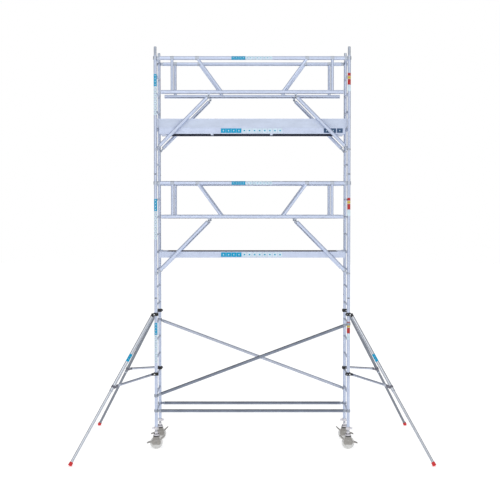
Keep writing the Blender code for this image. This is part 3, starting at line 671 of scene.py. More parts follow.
def guardrail(name, deck_name, face):
    """Welded guardrail frame with claws on its top rail and brackets for its two struts."""
    y = LEG[f"{face}_left"].y
    outward = math.copysign(1, y)
    rung_z = DECK_TOP[deck_name] - DECK_OVER_RUNG
    top = rung_z + TOP_RUNGS * RUNG_PITCH - TOP_RAIL_DROP
    knee = rung_z + KNEE_RUNGS * RUNG_PITCH + KNEE_RAIL_LIFT
    leg_x = abs(LEG["front_right"].x)
    piece = Piece()
    rail = flat(circle(RAIL_RADIUS, 0, 36))
    infill = flat(circle(INFILL_RADIUS, 0, 32))
    reach = leg_x - CLAW_OUTER - 0.042
    piece.bar(rail, (-reach - 0.005, y, top), (reach + 0.005, y, top), "aluminium")
    knee_rail = turned(tube_profile(RAIL_RADIUS, 0.002, 0, 2 * KNEE_RAIL_END), 36)
    piece.add(knee_rail, "aluminium", facing((-KNEE_RAIL_END, y, knee), (KNEE_RAIL_END, y, knee)), wrap=True)
    top_tube = (Vector((0, y, top)), Vector((1, 0, 0)), RAIL_RADIUS)
    knee_tube = (Vector((0, y, knee)), Vector((1, 0, 0)), RAIL_RADIUS)
    sleeve = turned(tube_profile(RAIL_RADIUS + 0.0016, 0.0014, 0, 0.06, 0.0008), 36)
    for side_name, side in SIDES:
        for low_x, high_x in ((UPRIGHT_X, UPRIGHT_X), (DIAGONAL_KNEE_X, DIAGONAL_TOP_X)):
            start, end = Vector((side * low_x, y, knee)), Vector((side * high_x, y, top))
            piece.bar(infill, start, end, "aluminium", (knee_tube, top_tube), "weld")
            saddle = facing((side * high_x - 0.03, y, top), (side * high_x + 0.03, y, top))
            piece.add(sleeve, "cast_aluminium", saddle, wrap=True)
        back = (side * (leg_x - CLAW_OUTER + 0.003), y, top)
        neck(piece, (side * reach, y, top), back, RAIL_RADIUS, CLAW_HEIGHT + 0.014, "cast_aluminium")
        claw_place = upright(side * leg_x, y, top, 90 * outward)
        claw(piece, claw_place, 210, CLAW_HEIGHT + 0.016, "cast_aluminium")
        pivot = Vector(JOINTS[f"{deck_name}_{face}_{side_name}_strut_fold"]["pos_m"])
        bracket(piece, pivot, knee)
    piece.finish(f"{name}_welded", "tower", "aluminium", [name])


def bracket(piece, pivot, knee):
    """Two cheeks under the knee rail that hold a strut's pivot bolt."""
    outline = rounded((-0.018, -0.0155), (0.018, knee - pivot.z - 0.017), 0.009, 5)
    for low, high in ((-0.0136, -0.0096), (0.0096, 0.0136)):
        place = edgewise(pivot.x, pivot.y, pivot.z)
        piece.add(prism(outline, low, high, 0.0008), "cast_aluminium", place)
    bolt_place = Matrix.Translation(pivot) @ Matrix.Rotation(math.pi / 2, 4, "X")
    piece.bolt(bolt_place, 0.0276, 0.0045, "dark_bolt")


def strut(deck_name, face, side_name, side):
    """Raking strut: forked lug on the pivot bolt, tube, and a claw with a spring catch."""
    node = f"{deck_name}_{face}_{side_name}_strut"
    pivot = Vector(JOINTS[f"{node}_fold"]["pos_m"])
    leg = LEG[f"{face}_{side_name}"]
    claw_z = DECK_TOP[deck_name] - DECK_OVER_RUNG - RUNG_PITCH - 0.050
    claw_back = Vector((leg.x - side * (CLAW_OUTER - 0.004), leg.y, claw_z))
    aim = claw_back + UP * STRUT_AIM_LIFT
    along = (aim - pivot).normalized()
    end = aim - along * STRUT_STOP
    piece = Piece()
    tube = flat(circle(STRUT_RADIUS, 0, 36))
    piece.bar(tube, pivot + along * 0.032, end - along * 0.006, "aluminium")
    lean = Matrix.Rotation(math.atan2(along.x, along.z), 4, "Y")
    lug = [*arc((0, 0), 0.0143, 180, 360, 12), (0.0143, 0.060), (-0.0143, 0.060)]
    lug_place = Matrix.Translation(pivot) @ lean @ edgewise(0, 0, 0)
    piece.add(prism(lug, -0.0086, 0.0086, 0.0012), "cast_aluminium", lug_place)
    sleeve, inside = STRUT_RADIUS + 0.0006, STRUT_RADIUS - 0.0001
    plug = [
        (0.020, 0.0275), (sleeve - 0.0026, 0.0282), (sleeve, 0.0310),
        (sleeve, 0.0385), (inside, 0.0395),
    ]
    length = (end - pivot).length
    cap = [
        (inside, length - 0.020), (sleeve, length - 0.019), (sleeve, length - 0.004),
        (sleeve - 0.0026, length), (0.018, length + 0.001),
    ]
    for ferrule in (plug, cap):
        piece.add(turned(ferrule, 36), "cast_aluminium", facing(pivot, aim))
    tip_start = end - along * 0.010
    tip_length = (claw_back - tip_start).length
    tip = [(0.0120, 0.0), (0.0130, 0.004), (0.0130, tip_length - 0.010), (0.0120, tip_length)]
    piece.add(turned(tip, 28), "cast_aluminium", facing(tip_start, claw_back))
    claw(piece, upright(leg.x, leg.y, claw_z, 180 if side > 0 else 0), 180, 0.032, "cast_aluminium")
    piece.finish(f"{node}_tube", node, "aluminium", [node])


def base_brace(name, face):
    """Clip-on tube across the bay: the front diagonal rises to the right, the rear one to the left."""
    low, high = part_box(name)
    y = LEG[f"{face}_left"].y
    leg_x = abs(LEG["front_right"].x)
    half_claw = CLAW_HEIGHT / 2
    rises = high.z - low.z > 0.2
    heights = (low.z + half_claw, high.z - half_claw) if rises else ((low.z + high.z) / 2,) * 2
    if face == "rear":
        heights = heights[::-1]
    start, end = Vector((-leg_x, y, heights[0])), Vector((leg_x, y, heights[1]))
    along = (end - start).normalized()
    piece = Piece()
    gap = (CLAW_OUTER + 0.045) / abs(along.x)
    # The rear diagonal takes the lighter stay finish, a lit copy of the brace tube: painted light.
    finish = "stay_and_lit_brace_tube" if rises and face == "rear" else "brace_tube"
    piece.bar(flat(circle(BRACE_RADIUS, 0, 36)), start + along * gap, end - along * gap, finish)
    for foot, direction in ((start, along), (end, -along)):
        back = foot + direction * ((CLAW_OUTER - 0.003) / abs(along.x))
        neck(piece, foot + direction * (gap + 0.004), back, BRACE_RADIUS, CLAW_HEIGHT, "brace_cast")
        turn = 90 * math.copysign(1, y)
        claw(piece, upright(foot.x, foot.y, foot.z, turn), 210, CLAW_HEIGHT + 0.008, "brace_cast")
    piece.finish(f"{name}_tube", "tower", "brace_tube", [name])


def spindle(corner):
    """Threaded leg of the castor, with its stub and locking collar."""
    node = f"{corner}_spindle"
    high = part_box(node)[1].z
    leg = LEG[corner]
    swivel = JOINTS[f"{corner}_castor_swivel"]["pos_m"][2]
    place = upright(leg.x, leg.y)
    piece = Piece()
    piece.add(threaded(SPINDLE_RADIUS, 0.0016, 0.008, swivel + 0.020, high), "zinc", place)
    profile = [
        (0.012, 0.0004), (0.0245, 0.0004), (0.0255, 0.002), (0.0255, 0.011), (0.0246, 0.013), (0.0246, 0.028),
        (0.0255, 0.030), (0.0255, 0.035), (0.0240, 0.038), (0.0200, 0.0398), (0.012, 0.0398),
    ]
    piece.add(turned([(radius, swivel + z) for radius, z in profile], 36), "castor_head", place)
    piece.add(turned(rod_profile(0.009, swivel - 0.031, swivel + 0.010), 20), "zinc", place)
    piece.finish(f"{corner}_spindle_screw", node, "zinc_steel", [node])


def castor_fork(corner):
    """Pressed fork: swivel head with its ball race, crown, two cheeks, axle and brake rack."""
    node = f"{corner}_castor_fork"
    leg = LEG[corner]
    piece = Piece()
    cheek = mirrored([
        (0.040, 0.073), (0.055, 0.0735), (0.066, 0.088), (0.070, 0.100), (0.068, 0.122),
        (0.061, 0.150), (0.0535, 0.172), (0.0485, 0.192), (0.0485, 0.218),
    ], SIDEWAYS)
    place = edgewise(leg.x, leg.y, 0)
    for low, high in ((CHEEK_INNER, CHEEK_OUTER), (-CHEEK_OUTER, -CHEEK_INNER)):
        piece.add(prism(cheek, low, high, 0.0015), "castor_steel", place)
    crown = rounded((-0.048, -0.033), (0.048, 0.033), 0.010)
    piece.add(prism(crown, 0.207, 0.2215, 0.002), "castor_head", upright(leg.x, leg.y))
    head = [
        (0.0105, 0.214), (0.038, 0.214), (0.0425, 0.2155), (0.0447, 0.2185), (0.0447, 0.2265),
        (0.0432, 0.2285), (0.0432, 0.2300), (0.0450, 0.2318), (0.0446, 0.2368), (0.040, 0.2392),
        (0.024, 0.2398), (0.0105, 0.2398),
    ]
    piece.add(turned(head, 48), "castor_head", upright(leg.x, leg.y), wrap=True)
    piece.finish(f"{corner}_castor_fork_shell", node, "castor_steel", [node])
    fittings = Piece()
    axle = Matrix.Translation((leg.x, leg.y, WHEEL_RADIUS)) @ Matrix.Rotation(math.pi / 2, 4, "X")
    fittings.bolt(axle, 2 * CHEEK_OUTER, 0.0062, "castor_steel")
    # Toothed rack that the swivel lock drops into.
    teeth, width = 9, 0.084
    step = width / teeth
    rack = [(width / 2, 0.2130), (-width / 2, 0.2130)]
    for k in range(teeth):
        x = -width / 2 + step * k
        for share, z in ((0.1, 0.1940), (0.45, 0.1940), (0.6, 0.2010), (0.95, 0.2010)):
            rack.append((x + step * share, z))
    for sign in (-1, 1):
        pin = Vector((leg.x, leg.y + sign * (CHEEK_INNER + 0.001), PIVOT_Z))
        pin_place = facing(pin, pin + Vector((0, sign, 0)))
        fittings.add(turned(rod_profile(0.005, 0, 0.0105, 0.0008), 20), "zinc", pin_place)
        inner, outer = ordered(sign, CHEEK_OUTER - 0.0005, CHEEK_OUTER + 0.0018)
        fittings.add(prism(rack, inner, outer, 0.0005), "black_coat", place)
    for turn in range(6):
        a = math.radians(30 + 60 * turn)
        head = upright(leg.x + 0.034 * math.cos(a), leg.y + 0.034 * math.sin(a), 0.2395, 17 * turn)
        fittings.add(turned(rod_profile(0.0076, -0.001, 0.0012, 0.0003), 20), "black_coat", head)
        fittings.add(prism(flat(circle(0.0068, 0, 6)), 0.001, 0.0105, 0.0009), "black_coat", head)
    fittings.finish(f"{corner}_castor_fittings", node, "zinc_steel")


def castor_wheel(corner):
    """Cast wheel with a rounded tread, a recessed web and a bearing in its hub."""
    node = f"{corner}_castor_wheel"
    leg = LEG[corner]
    place = facing((leg.x, leg.y, WHEEL_RADIUS), (leg.x, leg.y + 1, WHEEL_RADIUS))
    side = [
        (0.0095, 0.0272), (0.0185, 0.0275), (0.0250, 0.0270), (0.0262, 0.0255), (0.0275, 0.0215),
        (0.034, 0.0200), (0.062, 0.0195), (0.074, 0.0200), (0.0775, 0.0225), (0.0790, 0.0245),
        (0.0820, 0.0250), (0.0930, 0.0248), (0.0965, 0.0238), (0.0988, 0.0205), (0.0998, 0.0150),
        (0.1000, 0.0080),
    ]
    profile = mirrored([(radius, -z) for radius, z in side], UPWARDS)
    piece = Piece()
    piece.add(turned(profile, 72), "wheel_nylon", place, wrap=True)
    seal = [(0.0098, 0.0274), (0.0178, 0.0274), (0.0183, 0.0282), (0.0150, 0.0286), (0.0098, 0.0284)]
    for sign in (-1, 1):
        rings = turned([(radius, sign * z) for radius, z in seal], 32)
        piece.add(rings, "dark_bolt", place, wrap=True)
    rib = rounded((0.0265, -0.0022), (0.0765, 0.0022), 0.0015, 2)
    for k in range(8):
        turn = Matrix.Rotation(math.tau * k / 8, 4, "Z")
        for sign in (-1, 1):
            piece.add(prism(rib, *ordered(sign, 0.0185, 0.0232), 0.0008), "wheel_nylon", place @ turn)
    piece.finish(f"{corner}_castor_wheel_cast", node, "wheel_nylon", [node])


def castor_brake(corner, out):
    """Two-ended brake rocker: bent arms outside the fork and a ribbed pedal at each end."""
    node = f"{corner}_castor_brake"
    leg = LEG[corner]
    place = edgewise(leg.x, leg.y, 0, out)
    piece = Piece()
    path = smooth_path([
        (0.145, 0.0985), (0.108, 0.1105), (0.062, 0.1265), (0.0, PIVOT_Z),
        (-0.062, 0.155), (-0.100, 0.184), (-0.131, 0.214),
    ])
    arm = stroke(path, 0.016, lambda t: 0.62 + 0.62 * math.sin(math.pi * t))
    washer = [(0.0055, 0), (0.0115, 0), (0.0115, 0.001), (0.0100, 0.0018), (0.0055, 0.0018)]
    for low, high in ((ARM_INNER, ARM_OUTER), (-ARM_OUTER, -ARM_INNER)):
        piece.add(prism(arm, low, high, 0.0009), "castor_steel", place)
        boss = Matrix.Translation((leg.x, leg.y + math.copysign(ARM_OUTER - 0.0006, low), PIVOT_Z))
        boss = boss @ Matrix.Rotation(math.copysign(math.pi / 2, -low), 4, "X")
        piece.add(turned(washer, 28), "castor_steel", boss, wrap=True)
    low_pedal = [(0.110, 0.1095), (0.132, 0.1030), (0.149, 0.0965)]
    high_pedal = [(-0.1035, 0.1870), (-0.118, 0.2005), (-0.1335, 0.2160)]
    for points in (low_pedal, high_pedal):
        tread = stroke(smooth_path(points, 5), 0.0062)
        piece.add(prism(tread, -0.0365, 0.0365, 0.0016), "castor_steel", place)
        root, tip = Vector(points[0]), Vector(points[-1])
        along = (tip - root).normalized()
        upwards = Vector((-along.y, along.x)) * math.copysign(1, along.x)
        for share in (0.25, 0.5, 0.75):
            top = root.lerp(tip, share) + upwards * 0.0034
            grip = Vector((leg.x + out * top.x, leg.y - 0.030, top.y))
            grip_place = facing(grip, grip + Vector((0, 1, 0)))
            piece.add(turned(rod_profile(0.0013, 0, 0.060, 0.0006), 10), "castor_steel", grip_place)
    piece.finish(f"{corner}_brake_rocker", node, "castor_steel", [node])


class StabiliserFrame:
    """Where one stabiliser lies: points by distance from the leg axis and height."""

    def __init__(self, corner):
        self.leg = LEG[corner].copy()
        self.leg.z = 0
        self.along = -Vector(JOINTS[f"{corner}_stabiliser_telescope"]["axis"])
        self.out = Vector((self.along.x, self.along.y, 0)).normalized()
        self.across = UP.cross(self.out)
        self.head = self.point(HEAD_OFFSET, HEAD_Z)
        self.length = (FOOT_HEIGHT - HEAD_Z) / self.along.z
        self.foot = self.head + self.along * self.length

    def point(self, distance, z):
        return self.leg + self.out * distance + UP * z

    def on_tube(self, share):
        return self.head + self.along * self.length * share

    def level(self, z):
        """Matrix at the leg's axis whose X points outwards along the stabiliser."""
        axes = Matrix((self.out, self.across, UP)).transposed().to_4x4()
        return Matrix.Translation(self.leg + UP * z) @ axes


def leg_clamp(piece, place, pivot_x, finish):
    """Two cast half shells round the leg, with a pivot hub, a hinge and an eye bolt that closes them."""
    half = CLAMP_HEIGHT / 2
    shell = mirrored([
        (CLAMP_INNER, 0.001 - half), (CLAMP_INNER + 0.001, -half), (0.0345, -half),
        (0.0365, 0.002 - half), (0.0365, -0.013), (CLAMP_OUTER, -0.011),
    ], UPWARDS)
    piece.add(turned(shell, 44), finish, place, wrap=True)
    ear = rounded((0.030, -0.0175), (pivot_x + 0.006, 0.0175), 0.004)
    piece.add(prism(ear, -0.019, 0.019, 0.003), finish, place)
    # Split of the shells: a hinge on one side, an eye bolt and its flanged nut on the other.
    split = rounded((-0.0085, 0.0335), (0.0085, 0.0500), 0.003, 3)
    piece.add(prism(split, -0.019, 0.019, 0.002), finish, place)
    hinge = place @ Matrix.Translation((0, 0.0455, 0))
    piece.add(turned(rod_profile(0.0042, -0.0235, 0.0235, 0.001), 16), "zinc", hinge)
    for low, high in ((0.0020, 0.0150), (-0.0150, -0.0020)):
        flange = rounded((low, -0.0560), (high, -0.0330), 0.0035, 3)
        piece.add(prism(flange, -0.016, 0.016, 0.002), finish, place)
    eye = place @ Matrix.Translation((0, -0.0475, 0)) @ Matrix.Rotation(math.pi / 2, 4, "Y")
    piece.bolt(eye, 0.030, 0.0052, "zinc")
    hub_place = place @ Matrix.Translation((pivot_x, 0, 0)) @ Matrix.Rotation(math.pi / 2, 4, "X")
    hub = mirrored([(0.0175, -0.0225), (0.0205, -0.0205), (0.0205, -0.0150), (0.0190, -0.0135)], UPWARDS)
    piece.add(turned(hub, 36), finish, hub_place)
    piece.bolt(hub_place, 0.045, 0.0060, "bright_bolt")


def stabiliser(corner):
    """Clamped outer tube, brace with its own clamp and collar, and telescopic tube with its foot."""
    at = StabiliserFrame(corner)
    body, leg_body = f"{corner}_stabiliser", f"{corner}_stabiliser_leg"
    outer_end = at.on_tube(OUTER_SHARE)
    outer_length = (outer_end - at.head).length
    place = facing(at.head, at.foot)

    # Front stabilisers take a lighter copy of the tube metal and rear ones a darker copy: painted light and
    # painted shade.
    painted_light_copy = "painted_lit_tube" if corner.startswith("front") else "painted_shade_tube"
    tube = Piece()
    profile = tube_profile(OUTER_TUBE_RADIUS, OUTER_TUBE_RADIUS - 0.0226, 0.040, outer_length)
    tube.add(turned(profile, 40), painted_light_copy, place, wrap=True)
    plug = [
        (0.012, 0.004), (0.0190, 0.010), (0.0252, 0.024),
        (0.0262, 0.032), (0.0262, 0.044), (0.0254, 0.046),
    ]
    tube.add(turned(plug, 36), "black_coat", place)
    tube.finish(f"{corner}_stabiliser_outer", body, "aluminium", [f"{corner}_stabiliser_outer_tube"])

    clamps = Piece()
    leg_clamp(clamps, at.level(HEAD_Z), HEAD_OFFSET, "black_coat")
    lower_z = HEAD_Z - LOWER_CLAMP_DROP
    leg_clamp(clamps, at.level(lower_z), 0.056, "black_coat")
    clamps.finish(f"{corner}_stabiliser_clamps", body, "black_clamp")

    lock = Piece()
    ring = [
        (0.0222, -0.014), (0.0258, -0.014), (0.0264, -0.012), (0.0264, -0.004),
        (0.0256, 0.002), (0.0236, 0.006), (0.0222, 0.006),
    ]
    lock.add(turned(ring, 40), "cast_aluminium", facing(outer_end, at.foot), wrap=True)
    button = [(0.0062, 0), (0.0062, 0.0035), (0.0046, 0.0055), (0.0015, 0.0062)]
    button_at = outer_end - at.along * 0.024 - at.across * 0.0245
    lock.add(turned(button, 20), "zinc", facing(button_at, button_at - at.across))
    collar_at = at.on_tube(COLLAR_SHARE)
    collar = mirrored([
        (0.0256, -0.0185), (0.0300, -0.0185), (0.0312, -0.0170), (0.0312, -0.0120), (0.0295, -0.0100),
    ], UPWARDS)
    lock.add(turned(collar, 40), "dark_cast", facing(collar_at, at.foot), wrap=True)
    lock.finish(f"{corner}_stabiliser_collars", body, "black_clamp")

    brace = Piece()
    start, end = at.point(0.070, lower_z), at.point(*BRACE_END)
    along = (end - start).normalized()
    section = flat(circle(STABILISER_BRACE_RADIUS, 0, 32))
    brace.bar(section, start + along * 0.045, end - along * 0.045, "stay_and_lit_brace_tube")
    for tip, direction in ((start, along), (end, -along)):
        flat_end(brace, tip, direction, at.across, STABILISER_BRACE_RADIUS, 0.050, "stay_and_lit_brace_tube")
    inward = at.across.cross(at.along)
    inward = -inward if inward.dot(at.out) > 0 else inward
    root = collar_at + inward * 0.026
    span = (end - root).length
    strap = stroke([(0, -0.004), (0, span * 0.5), (0, span)], 0.034)
    for sign in (-1, 1):
        shift = at.across * sign * 0.0095
        strap_place = facing(root + shift, end + shift, at.across) @ ALONG_X
        brace.add(prism(strap, -0.002, 0.002, 0.0008), "dark_cast", strap_place)
    pin_place = facing(end - at.across * 0.5, end) @ Matrix.Translation((0, 0, 0.5))
    brace.bolt(pin_place, 0.026, 0.0050, "zinc")
    brace.finish(f"{corner}_stabiliser_lower_brace", body, "brace_tube", [f"{corner}_stabiliser_brace"])

    leg = Piece()
    start_length = (at.on_tube(INNER_START) - at.head).length
    profile = rod_profile(INNER_TUBE_RADIUS, start_length, at.length - 0.004, 0.001)
    leg.add(turned(profile, 36), painted_light_copy, place)
    socket = [(0.0052, -0.0016), (0.0052, 0.0003), (0.0044, 0.0005), (0.0040, -0.0010)]
    out = -at.across
    for k in range(9):
        spot = at.head + at.along * (outer_length + 0.10 + 0.085 * k)
        socket_place = facing(spot + out * (INNER_TUBE_RADIUS - 0.0001), spot + out)
        leg.add(turned(socket, 18), "dark_hole", socket_place)
    leg.finish(f"{corner}_stabiliser_inner", leg_body, "aluminium", [f"{corner}_stabiliser_inner_tube"])
    rubber_foot(corner, at, leg_body)


def flat_end(piece, tip, direction, across, radius, length, finish):
    """A tube's end, pressed flat for the bolt that holds it."""
    rings = []
    place = facing(tip, tip + direction, across)
    for share, flatness in ((-0.25, 1.0), (0.0, 1.0), (0.35, 1.0), (0.6, 0.75), (0.8, 0.35), (1.0, 0.0)):
        ring = []
        for p in circle(radius):
            thin = p.x * (1 - flatness) + math.copysign(0.0035, p.x) * flatness if abs(p.x) > 1e-6 else 0.0
            wide = p.y * (1 + 0.22 * flatness)
            ring.append(Vector((thin, wide, share * length)))
        rings.append(ring)
    piece.add(rings, finish, place)


def rubber_foot(corner, at, body):
    """Moulded foot that grips the tube and is worn flat where it stands."""
    place = facing(at.foot, at.foot + at.along)
    profile = [
        (0.0205, -0.0260), (0.0250, -0.0260), (0.0262, -0.0245), (0.0266, -0.0190), (0.0276, -0.0165),
        (0.0286, -0.0150), (0.0290, -0.012), (0.0290, -0.008), (0.0276, -0.006), (0.0276, -0.002),
        (0.0290, 0.000), (0.0290, 0.005), (0.0276, 0.007), (0.0276, 0.011), (0.0292, 0.013),
        (0.0300, 0.024), (0.0295, 0.030), (0.0275, 0.0325),
    ]
    piece = Piece()
    rings = turned(profile, 40)
    inverse = place.inverted()
    for ring in rings:
        for i, p in enumerate(ring):
            world = place @ p
            world.z = max(world.z, FOOT_SOLE_Z)
            ring[i] = inverse @ world
    piece.add(rings, "foot_rubber", place)
    piece.finish(f"{corner}_rubber_foot", body, "foot_rubber")


def band(piece, place, radius, start, end, finish, turns):
    """Thin film wrapped round part of a tube, between two angles."""
    outer = arc((0, 0), radius + 0.0005, *turns, 16)
    inner = arc((0, 0), radius - 0.0003, turns[1], turns[0], 16)
    piece.add(prism(outer + inner, start, end, 0.00015), finish, place)


def label_turn(at, place):
    """Angles of the half of a stabiliser's tube that looks away from the tower's long middle plane."""
    away = Vector((0, math.copysign(1, at.out.y), 0))
    local = place.to_3x3().inverted() @ away
    middle = math.degrees(math.atan2(local.y, local.x))
    return (middle - 95, middle + 95)


def squares(first, last, count, gap):
    """Equal spans with gaps between them."""
    step = (last - first + gap) / count
    return [(first + step * i, first + step * (i + 1) - gap) for i in range(count)]


def rail_labels(film, name, sign):
    """Blue and pale squares round the outer half of a top rail, and on the deck beam's outer side."""
    y = LEG["front_left"].y * -sign
    rail_z = DECK_TOP[name] - DECK_OVER_RUNG + TOP_RUNGS * RUNG_PITCH - TOP_RAIL_DROP
    place = facing((0.325 * sign, y, rail_z), (-0.325 * sign, y, rail_z))
    outward = place.to_3x3().inverted() @ Vector((0, sign, 0))
    middle = math.degrees(math.atan2(outward.y, outward.x))
    spans = [(*span, "film_blue", "film_pale") for span in squares(0.0, 0.215, 4, 0.003)]
    spans += [(*span, "film_pale", "film_blue") for span in squares(0.225, 0.64, 8, 0.010)]
    for start, end, finish, mark in spans:
        band(film, place, RAIL_RADIUS, start, end, finish, (middle - 70, middle + 70))
        centre = (start + end) / 2
        mark_turns = (middle - 10, middle + 10)
        band(film, place, RAIL_RADIUS + 0.0003, centre - 0.006, centre + 0.006, mark, mark_turns)
    half_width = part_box(f"{name}_deck_frame")[1].y
    z = DECK_TOP[name] - BEAM_HEIGHT / 2
    plate = edgewise(0, sign * half_width, 0)
    spans = [(*span, "film_blue", "film_pale") for span in squares(-0.495, -0.170, 4, 0.003)]
    spans += [(*span, "film_pale", "film_blue") for span in squares(-0.158, 0.475, 8, 0.012)]
    if name == "upper":
        spans += [(*span, "film_dark", "film_pale") for span in squares(1.13, 1.43, 3, 0.012)]
    for start, end, finish, mark in spans:
        left, right = ordered(-sign, start, end)
        outline = rounded((left, z - 0.036), (right, z + 0.036), 0.002, 2)
        film.add(prism(outline, -0.0004, 0.0004, 0.00015), finish, plate)
        centre = (left + right) / 2
        half = 0.007 if mark == "film_pale" else 0.012
        outline = rounded((centre - half, z - 0.010), (centre + half, z + 0.010), 0.002, 2)
        film.add(prism(outline, *ordered(sign, 0.0, 0.0007), 0.0001), mark, plate)


def leg_patches(long_label):
    """Colour squares of a leg's label: distance below the joint above, colour, and colour of its mark."""
    if long_label:
        patches = [(*span, "film_blue", "film_pale") for span in squares(0.293, 0.482, 4, 0.003)]
        patches += [(*span, "film_pale", "film_grey") for span in squares(0.492, 0.93, 8, 0.014)]
        return patches
    return [
        (0.275, 0.318, "film_red", None), (0.324, 0.366, "film_yellow", None),
        (0.372, 0.458, "film_red", None), (0.466, 0.56, "film_pale", None),
    ]


def labels():
    """Plain colour squares where such towers carry their labels. They hold no lettering."""
    film = Piece()
    for name in DECKS:
        for _, sign in FACES:
            rail_labels(film, name, sign)
    for corner, face_sign, side_sign in CORNERS:
        place = upright(LEG[corner].x, LEG[corner].y, 0, 90 * face_sign)
        for level in range(3):
            joint = HEAD_Z + 0.158 + RUNGS_PER_FRAME * RUNG_PITCH * level
            for upper, lower, finish, mark in leg_patches(side_sign == face_sign):
                band(film, place, LEG_RADIUS, joint - lower, joint - upper, finish, (-100, 100))
                if mark:
                    centre = joint - (lower + upper) / 2
                    band(film, place, LEG_RADIUS + 0.0003, centre - 0.006, centre + 0.006, mark, (-16, 16))
    film.finish("label_bands", "tower", "label_film")
    for corner, _, _ in CORNERS:
        at = StabiliserFrame(corner)
        piece = Piece()
        place = facing(at.head, at.foot)
        for start, end in squares(0.280 * at.length, 0.330 * at.length, 3, 0.003):
            band(piece, place, OUTER_TUBE_RADIUS, start, end, "film_blue", label_turn(at, place))
        piece.finish(f"{corner}_stabiliser_label", f"{corner}_stabiliser", "label_film")


# ---------------------------------------------------------------- materials


class Wiring:
    """Short calls that wire up one node material."""

    def __init__(self, name):
        self.material = bpy.data.materials.new(name)
        self.material.use_nodes = True
        self.nodes, self.links = self.material.node_tree.nodes, self.material.node_tree.links
        self.shader = self.nodes["Principled BSDF"]
        grain = self.nodes.new("ShaderNodeAttribute")
        grain.attribute_name = "grain"
        self.grain = grain.outputs["Vector"]

    def node(self, kind, inputs, **settings):
        made = self.nodes.new(kind)
        for key, value in settings.items():
            setattr(made, key, value)
        for key, value in inputs.items():
            if isinstance(value, bpy.types.NodeSocket):
                self.links.new(value, made.inputs[key])
            else:
                made.inputs[key].default_value = value
        return made.outputs[0]

    def noise(self, stretch, detail=3.0, seed=0.0):
        """Noise over the grain, from 0 to 1: stretch is its frequency on each axis, per metre."""
        stretch = stretch if isinstance(stretch, tuple) else (stretch,) * 3
        at = self.node("ShaderNodeMapping", {"Vector": self.grain, "Location": (seed,) * 3, "Scale": stretch})
        return self.node("ShaderNodeTexNoise", {"Vector": at, "Scale": 1.0, "Detail": detail})

    def remap(self, value, low, high, to_low=0.0, to_high=1.0):
        limits = {"From Min": low, "From Max": high, "To Min": to_low, "To Max": to_high}
        return self.node("ShaderNodeMapRange", {"Value": value, **limits})

    def maths(self, operation, first, second=0.0):
        return self.node("ShaderNodeMath", {0: first, 1: second}, operation=operation)

    def mix(self, amount, first, second):
        """Colour between first and second, each a colour of three numbers or a socket."""
        made = self.nodes.new("ShaderNodeMix")
        made.data_type = "RGBA"
        sockets = [s for s in made.inputs if s.type == "RGBA"]
        for value, socket in ((amount, made.inputs[0]), (first, sockets[0]), (second, sockets[1])):
            if isinstance(value, bpy.types.NodeSocket):
                self.links.new(value, socket)
            else:
                socket.default_value = (*value, 1.0) if isinstance(value, tuple) else value
        return next(s for s in made.outputs if s.type == "RGBA")

    def worn_edges(self, radius):
        """Mask of worn rims: where rounded normals leave the true ones, broken up by noise."""
        round_normal = self.node("ShaderNodeBevel", {"Radius": radius}, samples=4)
        true_normal = self.nodes.new("ShaderNodeNewGeometry").outputs["Normal"]
        same = self.node_value("ShaderNodeVectorMath", {0: round_normal, 1: true_normal}, "DOT_PRODUCT")
        rim = self.remap(same, 0.995, 0.90)
        return self.maths("MULTIPLY", rim, self.remap(self.noise(140.0, 2.0), 0.38, 0.62))

    def node_value(self, kind, inputs, operation):
        made = self.nodes.new(kind)
        made.operation = operation
        for key, value in inputs.items():
            self.links.new(value, made.inputs[key])
        return made.outputs["Value"]

    def done(self, colour, roughness, height, metallic, strength=0.3, distance=0.001, **constants):
        """Connects colour, roughness and bump, and sets the rest on the shader itself."""
        self.links.new(colour, self.shader.inputs["Base Color"])
        self.links.new(roughness, self.shader.inputs["Roughness"])
        bump = self.node("ShaderNodeBump", {"Strength": strength, "Distance": distance, "Height": height})
        self.links.new(bump, self.shader.inputs["Normal"])
        self.shader.inputs["Metallic"].default_value = metallic
        for key, value in constants.items():
            self.shader.inputs[key.replace("_", " ")].default_value = value
        return self.material


def darker(colour, factor):
    return tuple(c * factor for c in colour)


def metal(
    name, colour, rough, metallic=1.0, drawn=0.0, patchy=0.12, marks=0.3, worn=None, bump=0.25, painted_top_shade=0.0,
):
    """Metal with drawing lines, cloudy oxide and handling marks, maybe worn rims, maybe painted shade on its
    upper side.
    """
    look = Wiring(name)
    lines = look.noise((210.0, 210.0, 2.2), 3.0)
    cloud = look.noise(7.0, 4.0, 3.1)
    fine = look.noise(420.0, 2.0, 7.7)
    spots = look.remap(look.noise(46.0, 4.0, 12.3), 0.58, 0.72)
    tone = look.mix(look.remap(lines, 0.32, 0.68), darker(colour, 1 - drawn), colour)
    tone = look.mix(look.remap(cloud, 0.35, 0.68), tone, darker(colour, 1 - patchy))
    tone = look.mix(look.maths("MULTIPLY", spots, marks), tone, darker(colour, 0.55))
    roughness = look.remap(look.maths("ADD", cloud, lines), 0.7, 1.3, rough[0], rough[1])
    if worn:
        tone = look.mix(look.worn_edges(0.0016), tone, worn)
    # Painted shade: faces that look upwards are made darker, broken up by the cloud noise.
    if painted_top_shade:
        split = look.nodes.new("ShaderNodeSeparateXYZ")
        look.links.new(look.nodes.new("ShaderNodeNewGeometry").outputs["Normal"], split.inputs[0])
        upper_side = look.remap(split.outputs[2], -0.3, 0.9)
        top_shade_mask = look.maths("MULTIPLY", upper_side, look.remap(cloud, 0.2, 0.5, 0.7, 1.0))
        tone = look.mix(top_shade_mask, tone, darker(colour, 1 - painted_top_shade))
    height = look.maths("ADD", look.maths("MULTIPLY", lines, 0.6 + drawn), look.maths("MULTIPLY", fine, 0.5))
    return look.done(tone, roughness, height, metallic, bump, 0.0006)


